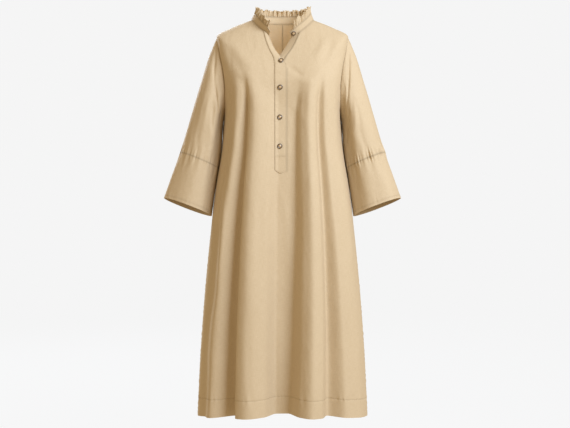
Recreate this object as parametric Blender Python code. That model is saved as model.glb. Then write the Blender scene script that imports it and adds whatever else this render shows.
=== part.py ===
"""Midi shirt dress of plain cotton, filled out as if worn, with nobody in it.

Metres, +Z up, the front faces -Y, and +X is the wearer's left. The origin is the middle of the neck at
the height where the shoulders carry the dress. Every cloth piece is a closed wall: a sheet of outer
points worked out from rings and fold tables, and the same sheet moved in by the cloth's thickness.
"""

import math

import bmesh
import bpy
import numpy as np

# Cloth and seams
CLOTH = 0.0014
DOUBLE_CLOTH = 0.0016
BAND_CLOTH = 0.0020
FRILL_CLOTH = 0.0010
HEM_EXTRA = 0.0010
SEAM_GAP = 0.0003
HALF_GAP = 0.0002
DRAW_BACK_FROM = 0.5
DRAW_BACK = 1.3

# Lengths along the body from the neck seam, by the shoulder and the side
SHOULDER_TIP = 0.115
UNDERARM = 0.330
PLACKET_OPEN_END = 0.477
PLACKET_END = 0.521
HEM_STITCH = 1.187
HEM = 1.241

# Rings of the body. The columns are lengths in metres but for the last, which is 2 for an oval and
# more for a boxier ring. side_z, front_z and back_z are the ring's heights at its side, front and back.
RING_COLUMNS = ("along", "side_z", "front_z", "back_z", "half_width", "front", "back", "square")
RINGS = (
    (0.000, 0.006, -0.055, 0.006, 0.094, 0.062, 0.066, 2.0),
    (0.060, -0.018, -0.100, -0.026, 0.152, 0.086, 0.083, 2.2),
    (0.115, -0.047, -0.140, -0.072, 0.197, 0.104, 0.092, 2.5),
    (0.160, -0.093, -0.166, -0.110, 0.192, 0.113, 0.097, 2.8),
    (0.220, -0.153, -0.196, -0.160, 0.182, 0.120, 0.100, 3.0),
    (0.330, -0.265, -0.265, -0.265, 0.171, 0.123, 0.098, 3.0),
    (0.425, -0.360, -0.360, -0.360, 0.177, 0.126, 0.098, 2.8),
    (0.565, -0.500, -0.500, -0.500, 0.198, 0.130, 0.104, 2.5),
    (0.715, -0.650, -0.650, -0.650, 0.217, 0.131, 0.114, 2.3),
    (0.895, -0.830, -0.828, -0.831, 0.234, 0.130, 0.127, 2.1),
    (1.065, -1.000, -0.993, -1.003, 0.246, 0.127, 0.138, 2.0),
    (1.241, -1.176, -1.158, -1.182, 0.2545, 0.124, 0.146, 2.0),
)

# Folds that fall from the bust, left to right as seen from the front. chest_at and hem_at are places
# across the front, -1 at one side seam and 1 at the other; chest_out and hem_out are how far the cloth
# stands out there.
FOLD_COLUMNS = ("chest_at", "hem_at", "chest_out", "hem_out")
FRONT_FOLDS = (
    (-1.00, -1.00, 0.000, 0.000),
    (-0.90, -0.93, -0.003, -0.006),
    (-0.75, -0.80, 0.004, 0.018),
    (-0.61, -0.575, -0.008, -0.022),
    (-0.54, -0.490, 0.003, 0.033),
    (-0.46, -0.375, 0.008, 0.045),
    (-0.25, -0.205, 0.002, 0.018),
    (-0.05, -0.080, -0.003, -0.042),
    (0.26, 0.070, -0.005, -0.044),
    (0.37, 0.190, 0.000, 0.020),
    (0.46, 0.305, 0.006, 0.044),
    (0.55, 0.420, 0.002, 0.030),
    (0.635, 0.540, -0.007, -0.020),
    (0.70, 0.715, 0.001, 0.015),
    (0.85, 0.860, 0.003, 0.012),
    (1.00, 1.00, 0.000, 0.000),
)
# The same for the back, from the wearer's right side seam to the left one.
BACK_FOLDS = (
    (-1.00, -1.00, 0.000, 0.000),
    (-0.985, -0.985, 0.0064, 0.002),
    (-0.80, -0.86, 0.003, 0.014),
    (-0.62, -0.66, -0.007, -0.026),
    (-0.42, -0.43, 0.005, 0.030),
    (-0.20, -0.19, -0.004, -0.024),
    (0.03, 0.02, 0.004, 0.026),
    (0.24, 0.26, -0.005, -0.030),
    (0.46, 0.49, 0.004, 0.028),
    (0.66, 0.71, -0.006, -0.022),
    (0.84, 0.88, 0.003, 0.012),
    (0.985, 0.985, 0.0064, 0.002),
    (1.00, 1.00, 0.000, 0.000),
)
FOLD_START = 0.170
FOLD_FULL = 0.330
FOLD_GROWTH = 0.8

# Bust shaping
BUST_X = 0.100
BUST_Z = -0.200
BUST_OUT = 0.007
BUST_REACH = (0.050, 0.070)

# Armholes: how far the cut comes round to the front and the back, in degrees
ARMHOLE_FRONT = 25.0
ARMHOLE_BACK = 27.0
ARMHOLE_ROUND = 0.8
SHOULDER_SEAM_FORWARD = 16.0

# Button placket. The slot in the front is closed by a strip on each side, which open into a V above
# the first button. The edge columns are where each strip's free edge is, and the sunk columns are how
# far it rolls inward there.
PLACKET_LAP = 0.003
V_COLUMNS = ("front_z", "left_seam", "left_edge", "left_sunk", "right_seam", "right_edge", "right_sunk")
V_OPENING = (
    (-0.0495, -0.0585, -0.0400, 0.022, 0.0533, 0.0251, 0.012),
    (-0.0615, -0.0540, -0.0330, 0.022, 0.0447, 0.0180, 0.012),
    (-0.0788, -0.0479, -0.0252, 0.019, 0.0352, 0.0090, 0.012),
    (-0.0948, -0.0402, -0.0175, 0.013, 0.0258, -0.0033, 0.011),
    (-0.1060, -0.0336, -0.0122, 0.006, 0.0162, -0.0084, 0.010),
    (-0.1147, -0.0281, -0.0070, 0.002, 0.0080, -0.0140, 0.008),
    (-0.1300, -0.0240, 0.0050, 0.000, 0.0046, -0.0220, 0.001),
    (-0.1440, -0.0229, 0.0118, 0.000, 0.0046, -0.0274, 0.000),
    (-0.1600, -0.0229, 0.0118, 0.000, 0.0046, -0.0274, 0.000),
)
V_END_Z = -0.142
UNDER_DEPTH = 0.0019
UNDER_ROLL = 1.5
TOP_ROLL = 2.6
TOP_EDGE_RISE = 0.0004
STRIP_MARGIN = 0.0035
UNDER_SHORT = 0.002
PLACKET_POINT = 0.009
PLACKET_POINT_ROUND = 1.5

# Collar
BAND_HEIGHT = 0.022
BAND_LEFT_END = -25.2
BAND_RIGHT_END = 15.5
BAND_ROWS = 4
FRILL_HEIGHT = 0.021
FRILL_WAVES = 27
FRILL_SWING = 0.0042
FRILL_SHORT = 0.010
FRILL_ROWS = (0.0, 0.45, 1.0)
# How unevenly the frill is gathered: its waves' sway, and how their size and the top edge vary
FRILL_BASE_SWING = 0.10
FRILL_SWAY = (0.9, 0.21)
FRILL_UNEVEN = (0.2, 0.37)
FRILL_CREST = (0.10, 0.5)
# How many degrees in from the stand's right end its button sits
COLLAR_BUTTON_IN = 5.0
# Which way the collar stands: the angle round the neck from its front middle, then how much it leans
# towards the middle, forward and up.
LEAN_COLUMNS = ("round", "inward", "forward", "up")
COLLAR_LEAN = (
    (-345.0, 0.10, 0.62, 0.60),
    (-315.0, 0.12, 0.30, 0.90),
    (-270.0, 0.36, 0.02, 0.92),
    (-225.0, 0.20, 0.05, 0.98),
    (-180.0, 0.00, 0.10, 1.00),
    (-135.0, 0.20, 0.05, 0.98),
    (-90.0, 0.42, 0.05, 0.90),
    (-50.0, 0.32, 0.50, 0.80),
    (-20.0, 0.10, 0.80, 0.45),
)

# Sleeve rings, for the wearer's left. outer and inner are the points furthest from and nearest to the
# body, depth is half the ring's size fore and aft, and lift raises its front edge over its back edge.
SLEEVE_COLUMNS = ("down", "outer_x", "outer_z", "inner_x", "inner_z", "depth", "lift")
SLEEVE_RINGS = (
    (0.000, 0.2030, -0.049, 0.1730, -0.268, 0.070, 0.000),
    (0.055, 0.2225, -0.101, 0.1770, -0.292, 0.070, 0.000),
    (0.130, 0.2420, -0.173, 0.1808, -0.320, 0.068, 0.001),
    (0.205, 0.2630, -0.245, 0.1818, -0.353, 0.066, 0.002),
    (0.280, 0.2840, -0.317, 0.1855, -0.394, 0.063, 0.003),
    (0.355, 0.3055, -0.390, 0.1915, -0.437, 0.061, 0.004),
    (0.430, 0.3320, -0.461, 0.2020, -0.506, 0.060, 0.005),
    (0.497, 0.3555, -0.527, 0.2120, -0.580, 0.059, 0.008),
)
CUFF_SEAM = 0.355
CUFF_EDGE = 0.497
ARMHOLE_BLEND = 0.200
GATHERS = 16
GATHER_HEIGHT = 0.0012
GATHER_LENGTH = 0.040

# Folds along each sleeve: where round it (0 outside, 90 front, 180 inside, 270 back), how wide they
# are in degrees, and how far they stand out at the top and the bottom.
SLEEVE_FOLD_COLUMNS = ("around", "spread", "top_out", "low_out")
LEFT_SLEEVE_FOLDS = (
    (140.0, 20.0, -0.010, -0.003),
    (108.0, 18.0, 0.005, 0.003),
    (62.0, 22.0, -0.004, 0.004),
    (30.0, 20.0, 0.003, -0.003),
    (250.0, 26.0, -0.006, -0.003),
    (300.0, 24.0, 0.004, 0.003),
)
RIGHT_SLEEVE_FOLDS = (
    (146.0, 16.0, -0.009, -0.002),
    (118.0, 14.0, 0.005, 0.001),
    (95.0, 15.0, -0.005, 0.004),
    (48.0, 22.0, 0.004, -0.005),
    (240.0, 26.0, -0.006, -0.003),
    (305.0, 24.0, 0.004, 0.004),
)

# Buttons
BUTTON_RADIUS = 0.0072
BUTTON_HEIGHT = 0.0040
# x and z of each button down the placket
PLACKET_BUTTONS = ((-0.0041, -0.1300), (-0.0066, -0.2080), (-0.0078, -0.2940), (-0.0078, -0.3780))
BUTTON_GAP = 0.0005
BUTTON_SIDES = 12
# Half the button's outline: share of its radius, share of its height
BUTTON_OUTLINE = (
    (0.55, 0.00),
    (0.92, 0.20),
    (1.00, 0.45),
    (0.95, 0.72),
    (0.80, 0.80),
    (0.66, 0.66),
    (0.36, 0.90),
)

# How finely the sheets are divided
FRONT_SIDE_COLUMNS = 17
SLOT_COLUMNS = 3
UNDER_COLUMNS = 4
BACK_COLUMNS = 14
SHOULDER_ROWS = 4
ARMHOLE_ROWS = 8
BODICE_ROWS = (0.380, 0.430)
SKIRT_ROWS = 9
HEM_STEP = 0.001
SLEEVE_COLUMNS_ROUND = 48
SLEEVE_TOP_ROWS = (0.0, 0.018, 0.045, 0.090)
SLEEVE_ROWS = 5
CUFF_ROWS = 3
BAND_COLUMNS = 44
FRILL_COLUMNS = 135
DENSE = 481
SHARP_FROM = 40.0
# Steps round and along a surface from which its slopes are worked out
BODY_STEP = (0.2, 0.001)
SLEEVE_STEP = (1.0, 0.003)
COLLAR_STEP = (0.5, 0.001)


def column(table, names, name):
    """One named column of a table."""
    return np.array([row[names.index(name)] for row in table])


def smooth_curve(knots, values, at, level_ends=False):
    """Reads a smooth curve through a table's rows, turning only at its crests and troughs.

    Between two rows it is a cubic whose slopes are the harmonic mean of the two sides' slopes, or level
    at a crest or trough. knots and values may differ from point to point of `at`.
    """
    at = np.asarray(at, float)
    if np.ndim(knots) == 1:
        knots = np.asarray(knots, float).reshape((-1,) + (1,) * at.ndim)
    if np.ndim(values) == 1:
        values = np.asarray(values, float).reshape((-1,) + (1,) * at.ndim)
    knots, values = np.broadcast_arrays(knots, values)
    step = np.diff(knots, axis=0)
    slope = np.diff(values, axis=0) / step
    before, after = slope[:-1], slope[1:]
    same_way = before * after > 0
    total = np.where(same_way, before + after, 1.0)
    inner = np.where(same_way, 2 * before * after / total, 0.0)
    ends = 0.0 if level_ends else 1.0
    tangent = np.concatenate([ends * slope[:1], inner, ends * slope[-1:]])
    result = np.zeros(np.broadcast_shapes(knots.shape[1:], at.shape))
    last = len(slope) - 1
    for i in range(len(slope)):
        low = at >= knots[i] if i else np.ones(result.shape, bool)
        high = at < knots[i + 1] if i < last else np.ones(result.shape, bool)
        t = np.clip((at - knots[i]) / step[i], 0.0, 1.0)
        cubic = (
            values[i] * (1 + 2 * t) * (1 - t) ** 2
            + values[i + 1] * t**2 * (3 - 2 * t)
            + tangent[i] * step[i] * t * (1 - t) ** 2
            - tangent[i + 1] * step[i] * t**2 * (1 - t)
        )
        result = np.where(low & high, cubic, result)
    return result


def ease(low, high, at):
    """0 below low, 1 above high, and a smooth step between."""
    t = np.clip((np.asarray(at, float) - low) / (high - low), 0.0, 1.0)
    return t * t * (3 - 2 * t)


def fold_depth(table, across, along):
    """How far the folds of a table stand out at a place across the panel and along the body."""
    t = np.clip((along - FOLD_START) / (HEM - FOLD_START), 0.0, 1.0)
    places = [column(table, FOLD_COLUMNS, name) for name in ("chest_at", "hem_at")]
    depths = [column(table, FOLD_COLUMNS, name) for name in ("chest_out", "hem_out")]
    shape = (-1,) + (1,) * np.ndim(across)
    knots = places[0].reshape(shape) * (1 - t) + places[1].reshape(shape) * t
    grown = t**FOLD_GROWTH
    values = depths[0].reshape(shape) * (1 - grown) + depths[1].reshape(shape) * grown
    return smooth_curve(knots, values, across, level_ends=True) * ease(FOLD_START, FOLD_FULL, along)


def body(angle, along):
    """A point of the body's outer surface.

    angle is in degrees round the body, 0 at the front middle, 90 at the wearer's left side and 180 at
    the back; along is the length from the neck seam. The ring is |x/width|^n + |y/depth|^n = 1.
    """
    angle, along = np.broadcast_arrays(np.radians(angle), np.asarray(along, float))
    ring = {
        name: smooth_curve(column(RINGS, RING_COLUMNS, "along"), column(RINGS, RING_COLUMNS, name), along)
        for name in RING_COLUMNS[1:]
    }
    power = ring["square"]
    sine, cosine = np.sin(angle), np.cos(angle)
    reach = (np.abs(sine) ** power + np.abs(cosine) ** power) ** (-1 / power)
    across, ahead = reach * sine, reach * cosine
    is_front = cosine > 0
    depth = np.where(is_front, ring["front"], ring["back"])
    middle_z = np.where(is_front, ring["front_z"], ring["back_z"])
    x = ring["half_width"] * across
    y = -depth * ahead
    z = ring["side_z"] + (middle_z - ring["side_z"]) * (1 - across**2)
    out_x = np.sign(across) * np.abs(across) ** (power - 1) / ring["half_width"]
    out_y = -np.sign(ahead) * np.abs(ahead) ** (power - 1) / depth
    length = np.hypot(out_x, out_y)
    fold = np.where(
        is_front,
        fold_depth(FRONT_FOLDS, across, along),
        fold_depth(BACK_FOLDS, across, along),
    )
    x = x + fold * out_x / length
    y = y + fold * out_y / length
    near = ((np.abs(x) - BUST_X) / BUST_REACH[0]) ** 2 + ((z - BUST_Z) / BUST_REACH[1]) ** 2
    y = y - np.where(is_front, BUST_OUT * np.exp(-near), 0.0)
    return np.stack([x, y, z], axis=-1)


def outward(surface, u, v, u_step, v_step, flip):
    """The surface's unit normal at (u, v): the cross product of its two slopes, turned to face outwards."""
    along_u = surface(u + u_step, v) - surface(u - u_step, v)
    along_v = surface(u, v + v_step) - surface(u, v - v_step)
    normal = np.cross(along_u, along_v) * flip
    return normal / np.linalg.norm(normal, axis=-1, keepdims=True)


def body_normal(angle, along):
    """The body's outward unit normal; the steps stay inside the first and last ring."""
    inside = np.clip(along, 2 * BODY_STEP[1], HEM - 2 * BODY_STEP[1])
    return outward(body, angle, inside, *BODY_STEP, flip=-1.0)


def angle_of(x, along):
    """The angle of the front point whose sideways place on its ring is x."""
    names = ("half_width", "square")
    knots = column(RINGS, RING_COLUMNS, "along")
    width, power = (smooth_curve(knots, column(RINGS, RING_COLUMNS, name), along) for name in names)
    share = np.clip(np.abs(x) / width, 0.0, 0.999)
    return np.sign(x) * np.degrees(np.arctan(share / (1 - share**power) ** (1 / power)))


def along_of(front_z):
    """The length along the body whose ring has this height at the front middle."""
    lengths = np.linspace(0.0, HEM, DENSE)
    heights = smooth_curve(
        column(RINGS, RING_COLUMNS, "along"), column(RINGS, RING_COLUMNS, "front_z"), lengths
    )
    return float(np.interp(-front_z, -heights, lengths))


def v_opening(name, along):
    """One column of the V's table, read at the height that the front middle has on this ring."""
    knots = column(RINGS, RING_COLUMNS, "along")
    height = smooth_curve(knots, column(RINGS, RING_COLUMNS, "front_z"), along)
    rows = V_OPENING[::-1]
    levels = column(rows, V_COLUMNS, "front_z")
    return smooth_curve(levels, column(rows, V_COLUMNS, name), np.clip(height, levels[0], levels[-1]))


def arm_turn(along):
    """0 at the shoulder tip, 180 at the underarm, in degrees: the place on the armhole of a body row."""
    share = np.clip((along - SHOULDER_TIP) / (UNDERARM - SHOULDER_TIP), 0.0, 1.0)
    return np.degrees(np.arccos(1 - 2 * share))


def side_angle(along, back=False):
    """Where a panel ends at the side: shoulder seam, then armhole, then side seam."""
    if along < SHOULDER_TIP:
        return 90.0 - SHOULDER_SEAM_FORWARD * float(ease(0.0, SHOULDER_TIP, SHOULDER_TIP - along))
    sweep = math.sin(math.radians(float(arm_turn(along))))
    sweep = sweep**ARMHOLE_ROUND
    return 90.0 + ARMHOLE_BACK * sweep if back else 90.0 - ARMHOLE_FRONT * sweep


def body_rows():
    """The lengths along the body at which every panel has a row of points."""
    shoulder = np.linspace(0.0, SHOULDER_TIP, SHOULDER_ROWS + 1)[:-1]
    turns = np.radians(np.linspace(0.0, 180.0, ARMHOLE_ROWS + 1))
    armhole = SHOULDER_TIP + (UNDERARM - SHOULDER_TIP) * (1 - np.cos(turns)) / 2
    bodice = np.array([*BODICE_ROWS, PLACKET_OPEN_END, PLACKET_END])
    skirt = np.linspace(PLACKET_END, HEM_STITCH - HEM_STEP, SKIRT_ROWS + 1)[1:]
    hem = np.array([HEM_STITCH + HEM_STEP, HEM])
    return np.concatenate([shoulder, armhole, bodice, skirt, hem])


def evenly(start, end, along, pieces, end_gap=0.0):
    """Angles that divide a row into equal lengths of cloth, short of both its ends by the gap."""
    dense = np.linspace(start, end, DENSE)
    points = body(dense, np.full(DENSE, along))
    length = np.concatenate([[0.0], np.cumsum(np.linalg.norm(np.diff(points, axis=0), axis=1))])
    return np.interp(np.linspace(end_gap, length[-1] - end_gap, pieces + 1), length, dense)


def to_side(start, edge, along, pieces):
    """Angles from start to the panel's edge, half a seam's gap short of it.

    They divide the row to the body's side evenly, and the outer half is then drawn back to the edge, so
    that the middle of the panel keeps straight columns past the armhole.
    """
    side = math.copysign(90.0, edge)
    angles = evenly(start, side, along, pieces)
    share = np.linspace(0.0, 1.0, pieces + 1)
    drawn = np.clip((share - DRAW_BACK_FROM) / (1 - DRAW_BACK_FROM), 0.0, 1.0) ** DRAW_BACK
    angles = angles + (edge - side) * drawn
    inside = math.copysign(0.1, start - edge)
    two = body(np.array([edge, edge + inside]), np.array([along, along]))
    angles[-1] = edge + inside * HALF_GAP / np.linalg.norm(two[1] - two[0])
    return angles


def hem_thickness(rows):
    """The wall's thickness row by row: the turned-up hem is thicker."""
    return CLOTH + np.where(rows > HEM_STITCH, HEM_EXTRA, 0.0)[:, None, None]


def make_wall(name, outer, inner, material, keep=None, closed=False):
    """One closed solid from an outer sheet of points, the same sheet moved in, and a rim round every edge.

    keep is a table of the squares that are cloth, False where there is a hole. A closed sheet joins its
    last column to its first.
    """
    rows, columns = outer.shape[:2]
    wide = columns if closed else columns - 1
    if keep is None:
        keep = np.ones((rows - 1, wide), bool)
    row, col = np.nonzero(keep)
    right = (col + 1) % columns
    here, beside = row * columns + col, row * columns + right
    squares = np.stack([here, beside, beside + columns, here + columns], axis=1)
    count = rows * columns
    edges = np.concatenate([squares[:, [i, (i + 1) % 4]] for i in range(4)])
    ordered = np.sort(edges, axis=1)
    _, index, uses = np.unique(ordered, axis=0, return_inverse=True, return_counts=True)
    border = edges[uses[index.reshape(-1)] == 1]
    rim = np.stack([border[:, 1], border[:, 0], border[:, 0] + count, border[:, 1] + count], axis=1)
    faces = np.concatenate([squares, squares[:, ::-1] + count, rim])
    points = np.concatenate([outer.reshape(-1, 3), inner.reshape(-1, 3)])
    mesh = bpy.data.meshes.new(name)
    mesh.from_pydata(points.tolist(), [], faces.tolist())
    shape = bmesh.new()
    shape.from_mesh(mesh)
    loose = [vertex for vertex in shape.verts if not vertex.link_faces]
    bmesh.ops.delete(shape, geom=loose, context="VERTS")
    if shape.calc_volume(signed=True) < 0:
        bmesh.ops.reverse_faces(shape, faces=shape.faces)
    shape.to_mesh(mesh)
    shape.free()
    mesh.shade_smooth()
    mesh.set_sharp_from_angle(angle=math.radians(SHARP_FROM))
    mesh.materials.append(material)
    made = bpy.data.objects.new(name, mesh)
    bpy.context.scene.collection.objects.link(made)
    return made


def make_material(name, colour, roughness, metallic=0.0):
    """A plain finish for one kind of piece."""
    material = bpy.data.materials.new(name)
    material.use_nodes = True
    shader = material.node_tree.nodes["Principled BSDF"]
    shader.inputs["Base Color"].default_value = (*colour, 1.0)
    shader.inputs["Roughness"].default_value = roughness
    shader.inputs["Metallic"].default_value = metallic
    return material


def slot_places(along):
    """x of the front's columns beside and across its slot, from the left seam to the top strip's edge."""
    left, right = float(v_opening("left_seam", along)), float(v_opening("right_seam", along))
    edge = max(float(v_opening("left_edge", along)), right + PLACKET_LAP + STRIP_MARGIN)
    across = np.linspace(left + PLACKET_LAP, right, SLOT_COLUMNS + 1)
    return np.concatenate([[left], across, [right + PLACKET_LAP, edge]])


def front_angles(rows):
    """The front panel's columns: side to placket, the slot, placket to side."""
    table = []
    for along in rows:
        edge = side_angle(along)
        slot = angle_of(slot_places(along), along)
        one = to_side(slot[0], -edge, along, FRONT_SIDE_COLUMNS)
        two = to_side(slot[-1], edge, along, FRONT_SIDE_COLUMNS)
        table.append(np.concatenate([one[:0:-1], slot, two[1:]]))
    return np.array(table)


def make_front(cloth):
    """The front, cut in one piece, with the slot for the placket left open down from the neck."""
    rows = body_rows()
    angles = front_angles(rows)
    outer = body(angles, rows[:, None])
    inner = outer - body_normal(angles, rows[:, None]) * hem_thickness(rows)
    keep = np.ones((len(rows) - 1, angles.shape[1] - 1), bool)
    above = rows[1:] <= PLACKET_OPEN_END + 1e-6
    keep[above, FRONT_SIDE_COLUMNS + 1 : FRONT_SIDE_COLUMNS + 1 + SLOT_COLUMNS] = False
    return make_wall("front_panel", outer, inner, cloth, keep)


def make_back(name, side, cloth):
    """Half the back, from its side seam and armhole to the seam down the middle of the back."""
    rows = body_rows()
    table = []
    for along in rows:
        edge = side_angle(along, back=True)
        columns = to_side(180.0, edge, along, BACK_COLUMNS)
        columns[0] = 180.0 - HALF_GAP / np.linalg.norm(body(180.0, along) - body(179.0, along))
        table.append(columns)
    angles = side * np.array(table)
    outer = body(angles, rows[:, None])
    inner = outer - body_normal(angles, rows[:, None]) * hem_thickness(rows)
    return make_wall(name, outer, inner, cloth)


def armhole(turn, side):
    """The armhole's edge on the body at a turn round it, following the straight steps of the panels' rows."""
    rows = body_rows()
    rows = rows[(rows >= SHOULDER_TIP - 1e-9) & (rows <= UNDERARM + 1e-9)]
    turns = arm_turn(rows)
    front_edge = np.array([side_angle(along) for along in rows])
    back_edge = np.array([side_angle(along, back=True) for along in rows])
    front = body(side * front_edge, rows)
    back = body(side * back_edge, rows)
    loop = np.concatenate([front, back[-2::-1]])
    places = np.concatenate([turns, 360.0 - turns[-2::-1]])
    turn = np.mod(turn, 360.0)
    return np.stack([np.interp(turn, places, loop[:, k]) for k in range(3)], axis=-1)


def sleeve(turn, down, side):
    """A point of the sleeve's outer surface.

    turn is in degrees round the sleeve, 0 outside, 90 front, 180 inside. down is the length from the
    armhole. It is an oval between the ring's outer and inner point, pulled onto the armhole at the top.
    """
    turn, down = np.broadcast_arrays(np.asarray(turn, float), np.asarray(down, float))
    folds = LEFT_SLEEVE_FOLDS if side > 0 else RIGHT_SLEEVE_FOLDS
    knots = column(SLEEVE_RINGS, SLEEVE_COLUMNS, "down")

    def oval(at, swell):
        ring = {
            name: smooth_curve(knots, column(SLEEVE_RINGS, SLEEVE_COLUMNS, name), at)
            for name in SLEEVE_COLUMNS[1:]
        }
        half_x = (ring["outer_x"] - ring["inner_x"]) / 2
        half_z = (ring["outer_z"] - ring["inner_z"]) / 2
        half = np.hypot(half_x, half_z)
        cosine, sine = np.cos(np.radians(turn)), np.sin(np.radians(turn))
        x = (ring["outer_x"] + ring["inner_x"]) / 2 + cosine * half_x * (1 + swell / half)
        z = (ring["outer_z"] + ring["inner_z"]) / 2 + cosine * half_z * (1 + swell / half)
        y = -sine * (ring["depth"] + swell)
        return np.stack([side * x, y, z + ring["lift"] * sine], axis=-1)

    share = np.clip(down / CUFF_EDGE, 0.0, 1.0)
    swell = np.zeros(turn.shape)
    for row in folds:
        fold = dict(zip(SLEEVE_FOLD_COLUMNS, row))
        away = np.mod(turn - fold["around"] + 180.0, 360.0) - 180.0
        height = fold["top_out"] * (1 - share) + fold["low_out"] * share
        swell = swell + height * np.exp(-((away / fold["spread"]) ** 2))
    swell = swell * ease(0.01, 0.09, down)
    beside_seam = np.exp(-(((down - CUFF_SEAM) / GATHER_LENGTH) ** 2))
    swell = swell + GATHER_HEIGHT * beside_seam * np.sin(np.radians(turn * GATHERS))
    points = oval(down, swell)
    pull = np.clip(1 - down / ARMHOLE_BLEND, 0.0, 1.0)[..., None] ** 2
    return points + pull * (armhole(turn, side) - oval(np.zeros(down.shape), 0.0))


def sleeve_normal(turn, down, side):
    """The sleeve's outward unit normal."""
    inside = np.clip(down, SLEEVE_STEP[1] + 0.001, CUFF_EDGE - 0.002)
    return outward(lambda u, v: sleeve(u, v, side), turn, inside, *SLEEVE_STEP, flip=side)


def make_sleeve(name, side, cloth):
    """The sleeve from the armhole, two seam gaps clear of the body panels, to the cuff seam."""
    turns = np.arange(SLEEVE_COLUMNS_ROUND) * 360.0 / SLEEVE_COLUMNS_ROUND
    below = np.linspace(SLEEVE_TOP_ROWS[-1], CUFF_SEAM - HALF_GAP, SLEEVE_ROWS)[1:]
    downs = np.concatenate([SLEEVE_TOP_ROWS, below])
    outer = sleeve(turns[None, :], downs[:, None], side)
    outer[0, :, 0] += side * 2 * SEAM_GAP
    inner = outer - sleeve_normal(turns[None, :], downs[:, None], side) * CLOTH
    inner[0] = outer[0] - sleeve_top_way(turns, side) * CLOTH
    return make_wall(name, outer, inner, cloth, closed=True)


def sleeve_top_way(turns, side):
    """The way out of the cloth at the sleeve's top edge: away from the middle of the armhole."""
    edge = armhole(turns, side)
    middle = edge.mean(axis=0)
    way = edge - middle
    way[:, 0] = 0.0
    return way / np.linalg.norm(way, axis=-1, keepdims=True)


def make_cuff(name, side, cloth):
    """The deep straight cuff, of doubled cloth, sewn to the sleeve's gathered end."""
    turns = np.arange(SLEEVE_COLUMNS_ROUND) * 360.0 / SLEEVE_COLUMNS_ROUND
    downs = np.linspace(CUFF_SEAM + HALF_GAP, CUFF_EDGE, CUFF_ROWS + 1)
    outer = sleeve(turns[None, :], downs[:, None], side)
    inner = outer - sleeve_normal(turns[None, :], downs[:, None], side) * DOUBLE_CLOTH
    return make_wall(name, outer, inner, cloth, closed=True)


def placket_rows(end):
    """The body's rows from the neck down to the end of a placket strip, so that it follows the front."""
    rows = body_rows()
    rows = rows[rows <= end + 1e-6]
    rows[0] = HALF_GAP
    return rows


def make_top_placket(cloth):
    """The overlapping strip with the buttonholes. It is made from the front's own points, moved out."""
    rows = placket_rows(PLACKET_END)
    places = np.array([slot_places(along) for along in rows])
    seam, edge = v_opening("left_seam", rows)[:, None], v_opening("left_edge", rows)[:, None]
    straight = rows > along_of(V_END_Z)
    count = places.shape[1] - 1
    spread = seam + (edge - seam) * np.linspace(0.0, 1.0, count + 1)[None, :]
    spread = np.where(straight[:, None], places, spread)
    share = (spread - seam) / (edge - seam)
    lengths = np.repeat(rows[:, None], count + 1, axis=1)
    lengths[-1] -= PLACKET_POINT * np.abs(2 * share[-1] - 1) ** PLACKET_POINT_ROUND
    angles = angle_of(spread, lengths)
    normal = body_normal(angles, lengths)
    sunk = v_opening("left_sunk", rows)[:, None] * share**TOP_ROLL
    inner = body(angles, lengths) + normal * (SEAM_GAP + TOP_EDGE_RISE * share - sunk)[..., None]
    outer = inner + normal * DOUBLE_CLOTH
    return make_wall("top_placket", outer, inner, cloth)


def make_under_placket(cloth):
    """The strip behind, sewn to the other edge of the slot, that carries the buttons."""
    rows = placket_rows(PLACKET_OPEN_END)
    rows[-1] -= UNDER_SHORT
    share = np.linspace(0.0, 1.0, UNDER_COLUMNS + 1)[None, :]
    seam = v_opening("right_seam", rows)[:, None] + PLACKET_LAP
    edge = v_opening("right_edge", rows)[:, None]
    angles = angle_of(seam + (edge - seam) * share, rows[:, None])
    normal = body_normal(angles, rows[:, None])
    sunk = UNDER_DEPTH + v_opening("right_sunk", rows)[:, None] * share**UNDER_ROLL
    outer = body(angles, rows[:, None]) - normal * sunk[..., None]
    return make_wall("under_placket", outer, outer - normal * DOUBLE_CLOTH, cloth)


def collar_way(angle):
    """The direction in which the collar stands at an angle round the neck."""
    knots = column(COLLAR_LEAN, LEAN_COLUMNS, "round")
    inward, forward, up = (
        smooth_curve(knots, column(COLLAR_LEAN, LEAN_COLUMNS, name), angle) for name in LEAN_COLUMNS[1:]
    )
    way = np.stack([-inward * np.sign(np.sin(np.radians(angle))), -forward, up], axis=-1)
    return way / np.linalg.norm(way, axis=-1, keepdims=True)


def neck_roll(x):
    """How far the neck seam rolls in at a sideways place, where the collar is sewn to the placket strips."""
    top = np.array([float(v_opening(name, 0.0)) for name in ("left_seam", "left_edge", "left_sunk")])
    under = np.array([float(v_opening(name, 0.0)) for name in ("right_seam", "right_edge", "right_sunk")])
    under[0] += PLACKET_LAP
    left = np.clip((x - top[0]) / (top[1] - top[0]), 0.0, 1.0) ** TOP_ROLL * top[2]
    right = np.clip((x - under[0]) / (under[1] - under[0]), 0.0, 1.0) ** UNDER_ROLL * under[2]
    return np.where(x < 0.0, left, right)


def collar(angle, height):
    """A point of the collar's outer face: the neck seam, moved up the way the collar stands.

    At the collar's two front ends the seam is moved in as far as the strip below it rolls in.
    """
    seam = body(angle, np.zeros(np.shape(angle)))
    at_front = np.cos(np.radians(angle)) > 0
    roll = np.where(at_front, neck_roll(seam[..., 0]), 0.0)
    seam = seam - body_normal(angle, np.zeros(np.shape(angle))) * roll[..., None]
    return seam + collar_way(angle) * np.asarray(height)[..., None]


def collar_normal(angle, height):
    """The collar's outward unit normal."""
    return outward(collar, angle, height, *COLLAR_STEP, flip=1.0)


def collar_angles(pieces, end_gap):
    """Angles that divide the neck seam evenly, from the right front end round the back to the left one."""
    start, end = BAND_RIGHT_END - 360.0, BAND_LEFT_END
    return evenly(start, end, 0.0, pieces, end_gap)


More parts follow.
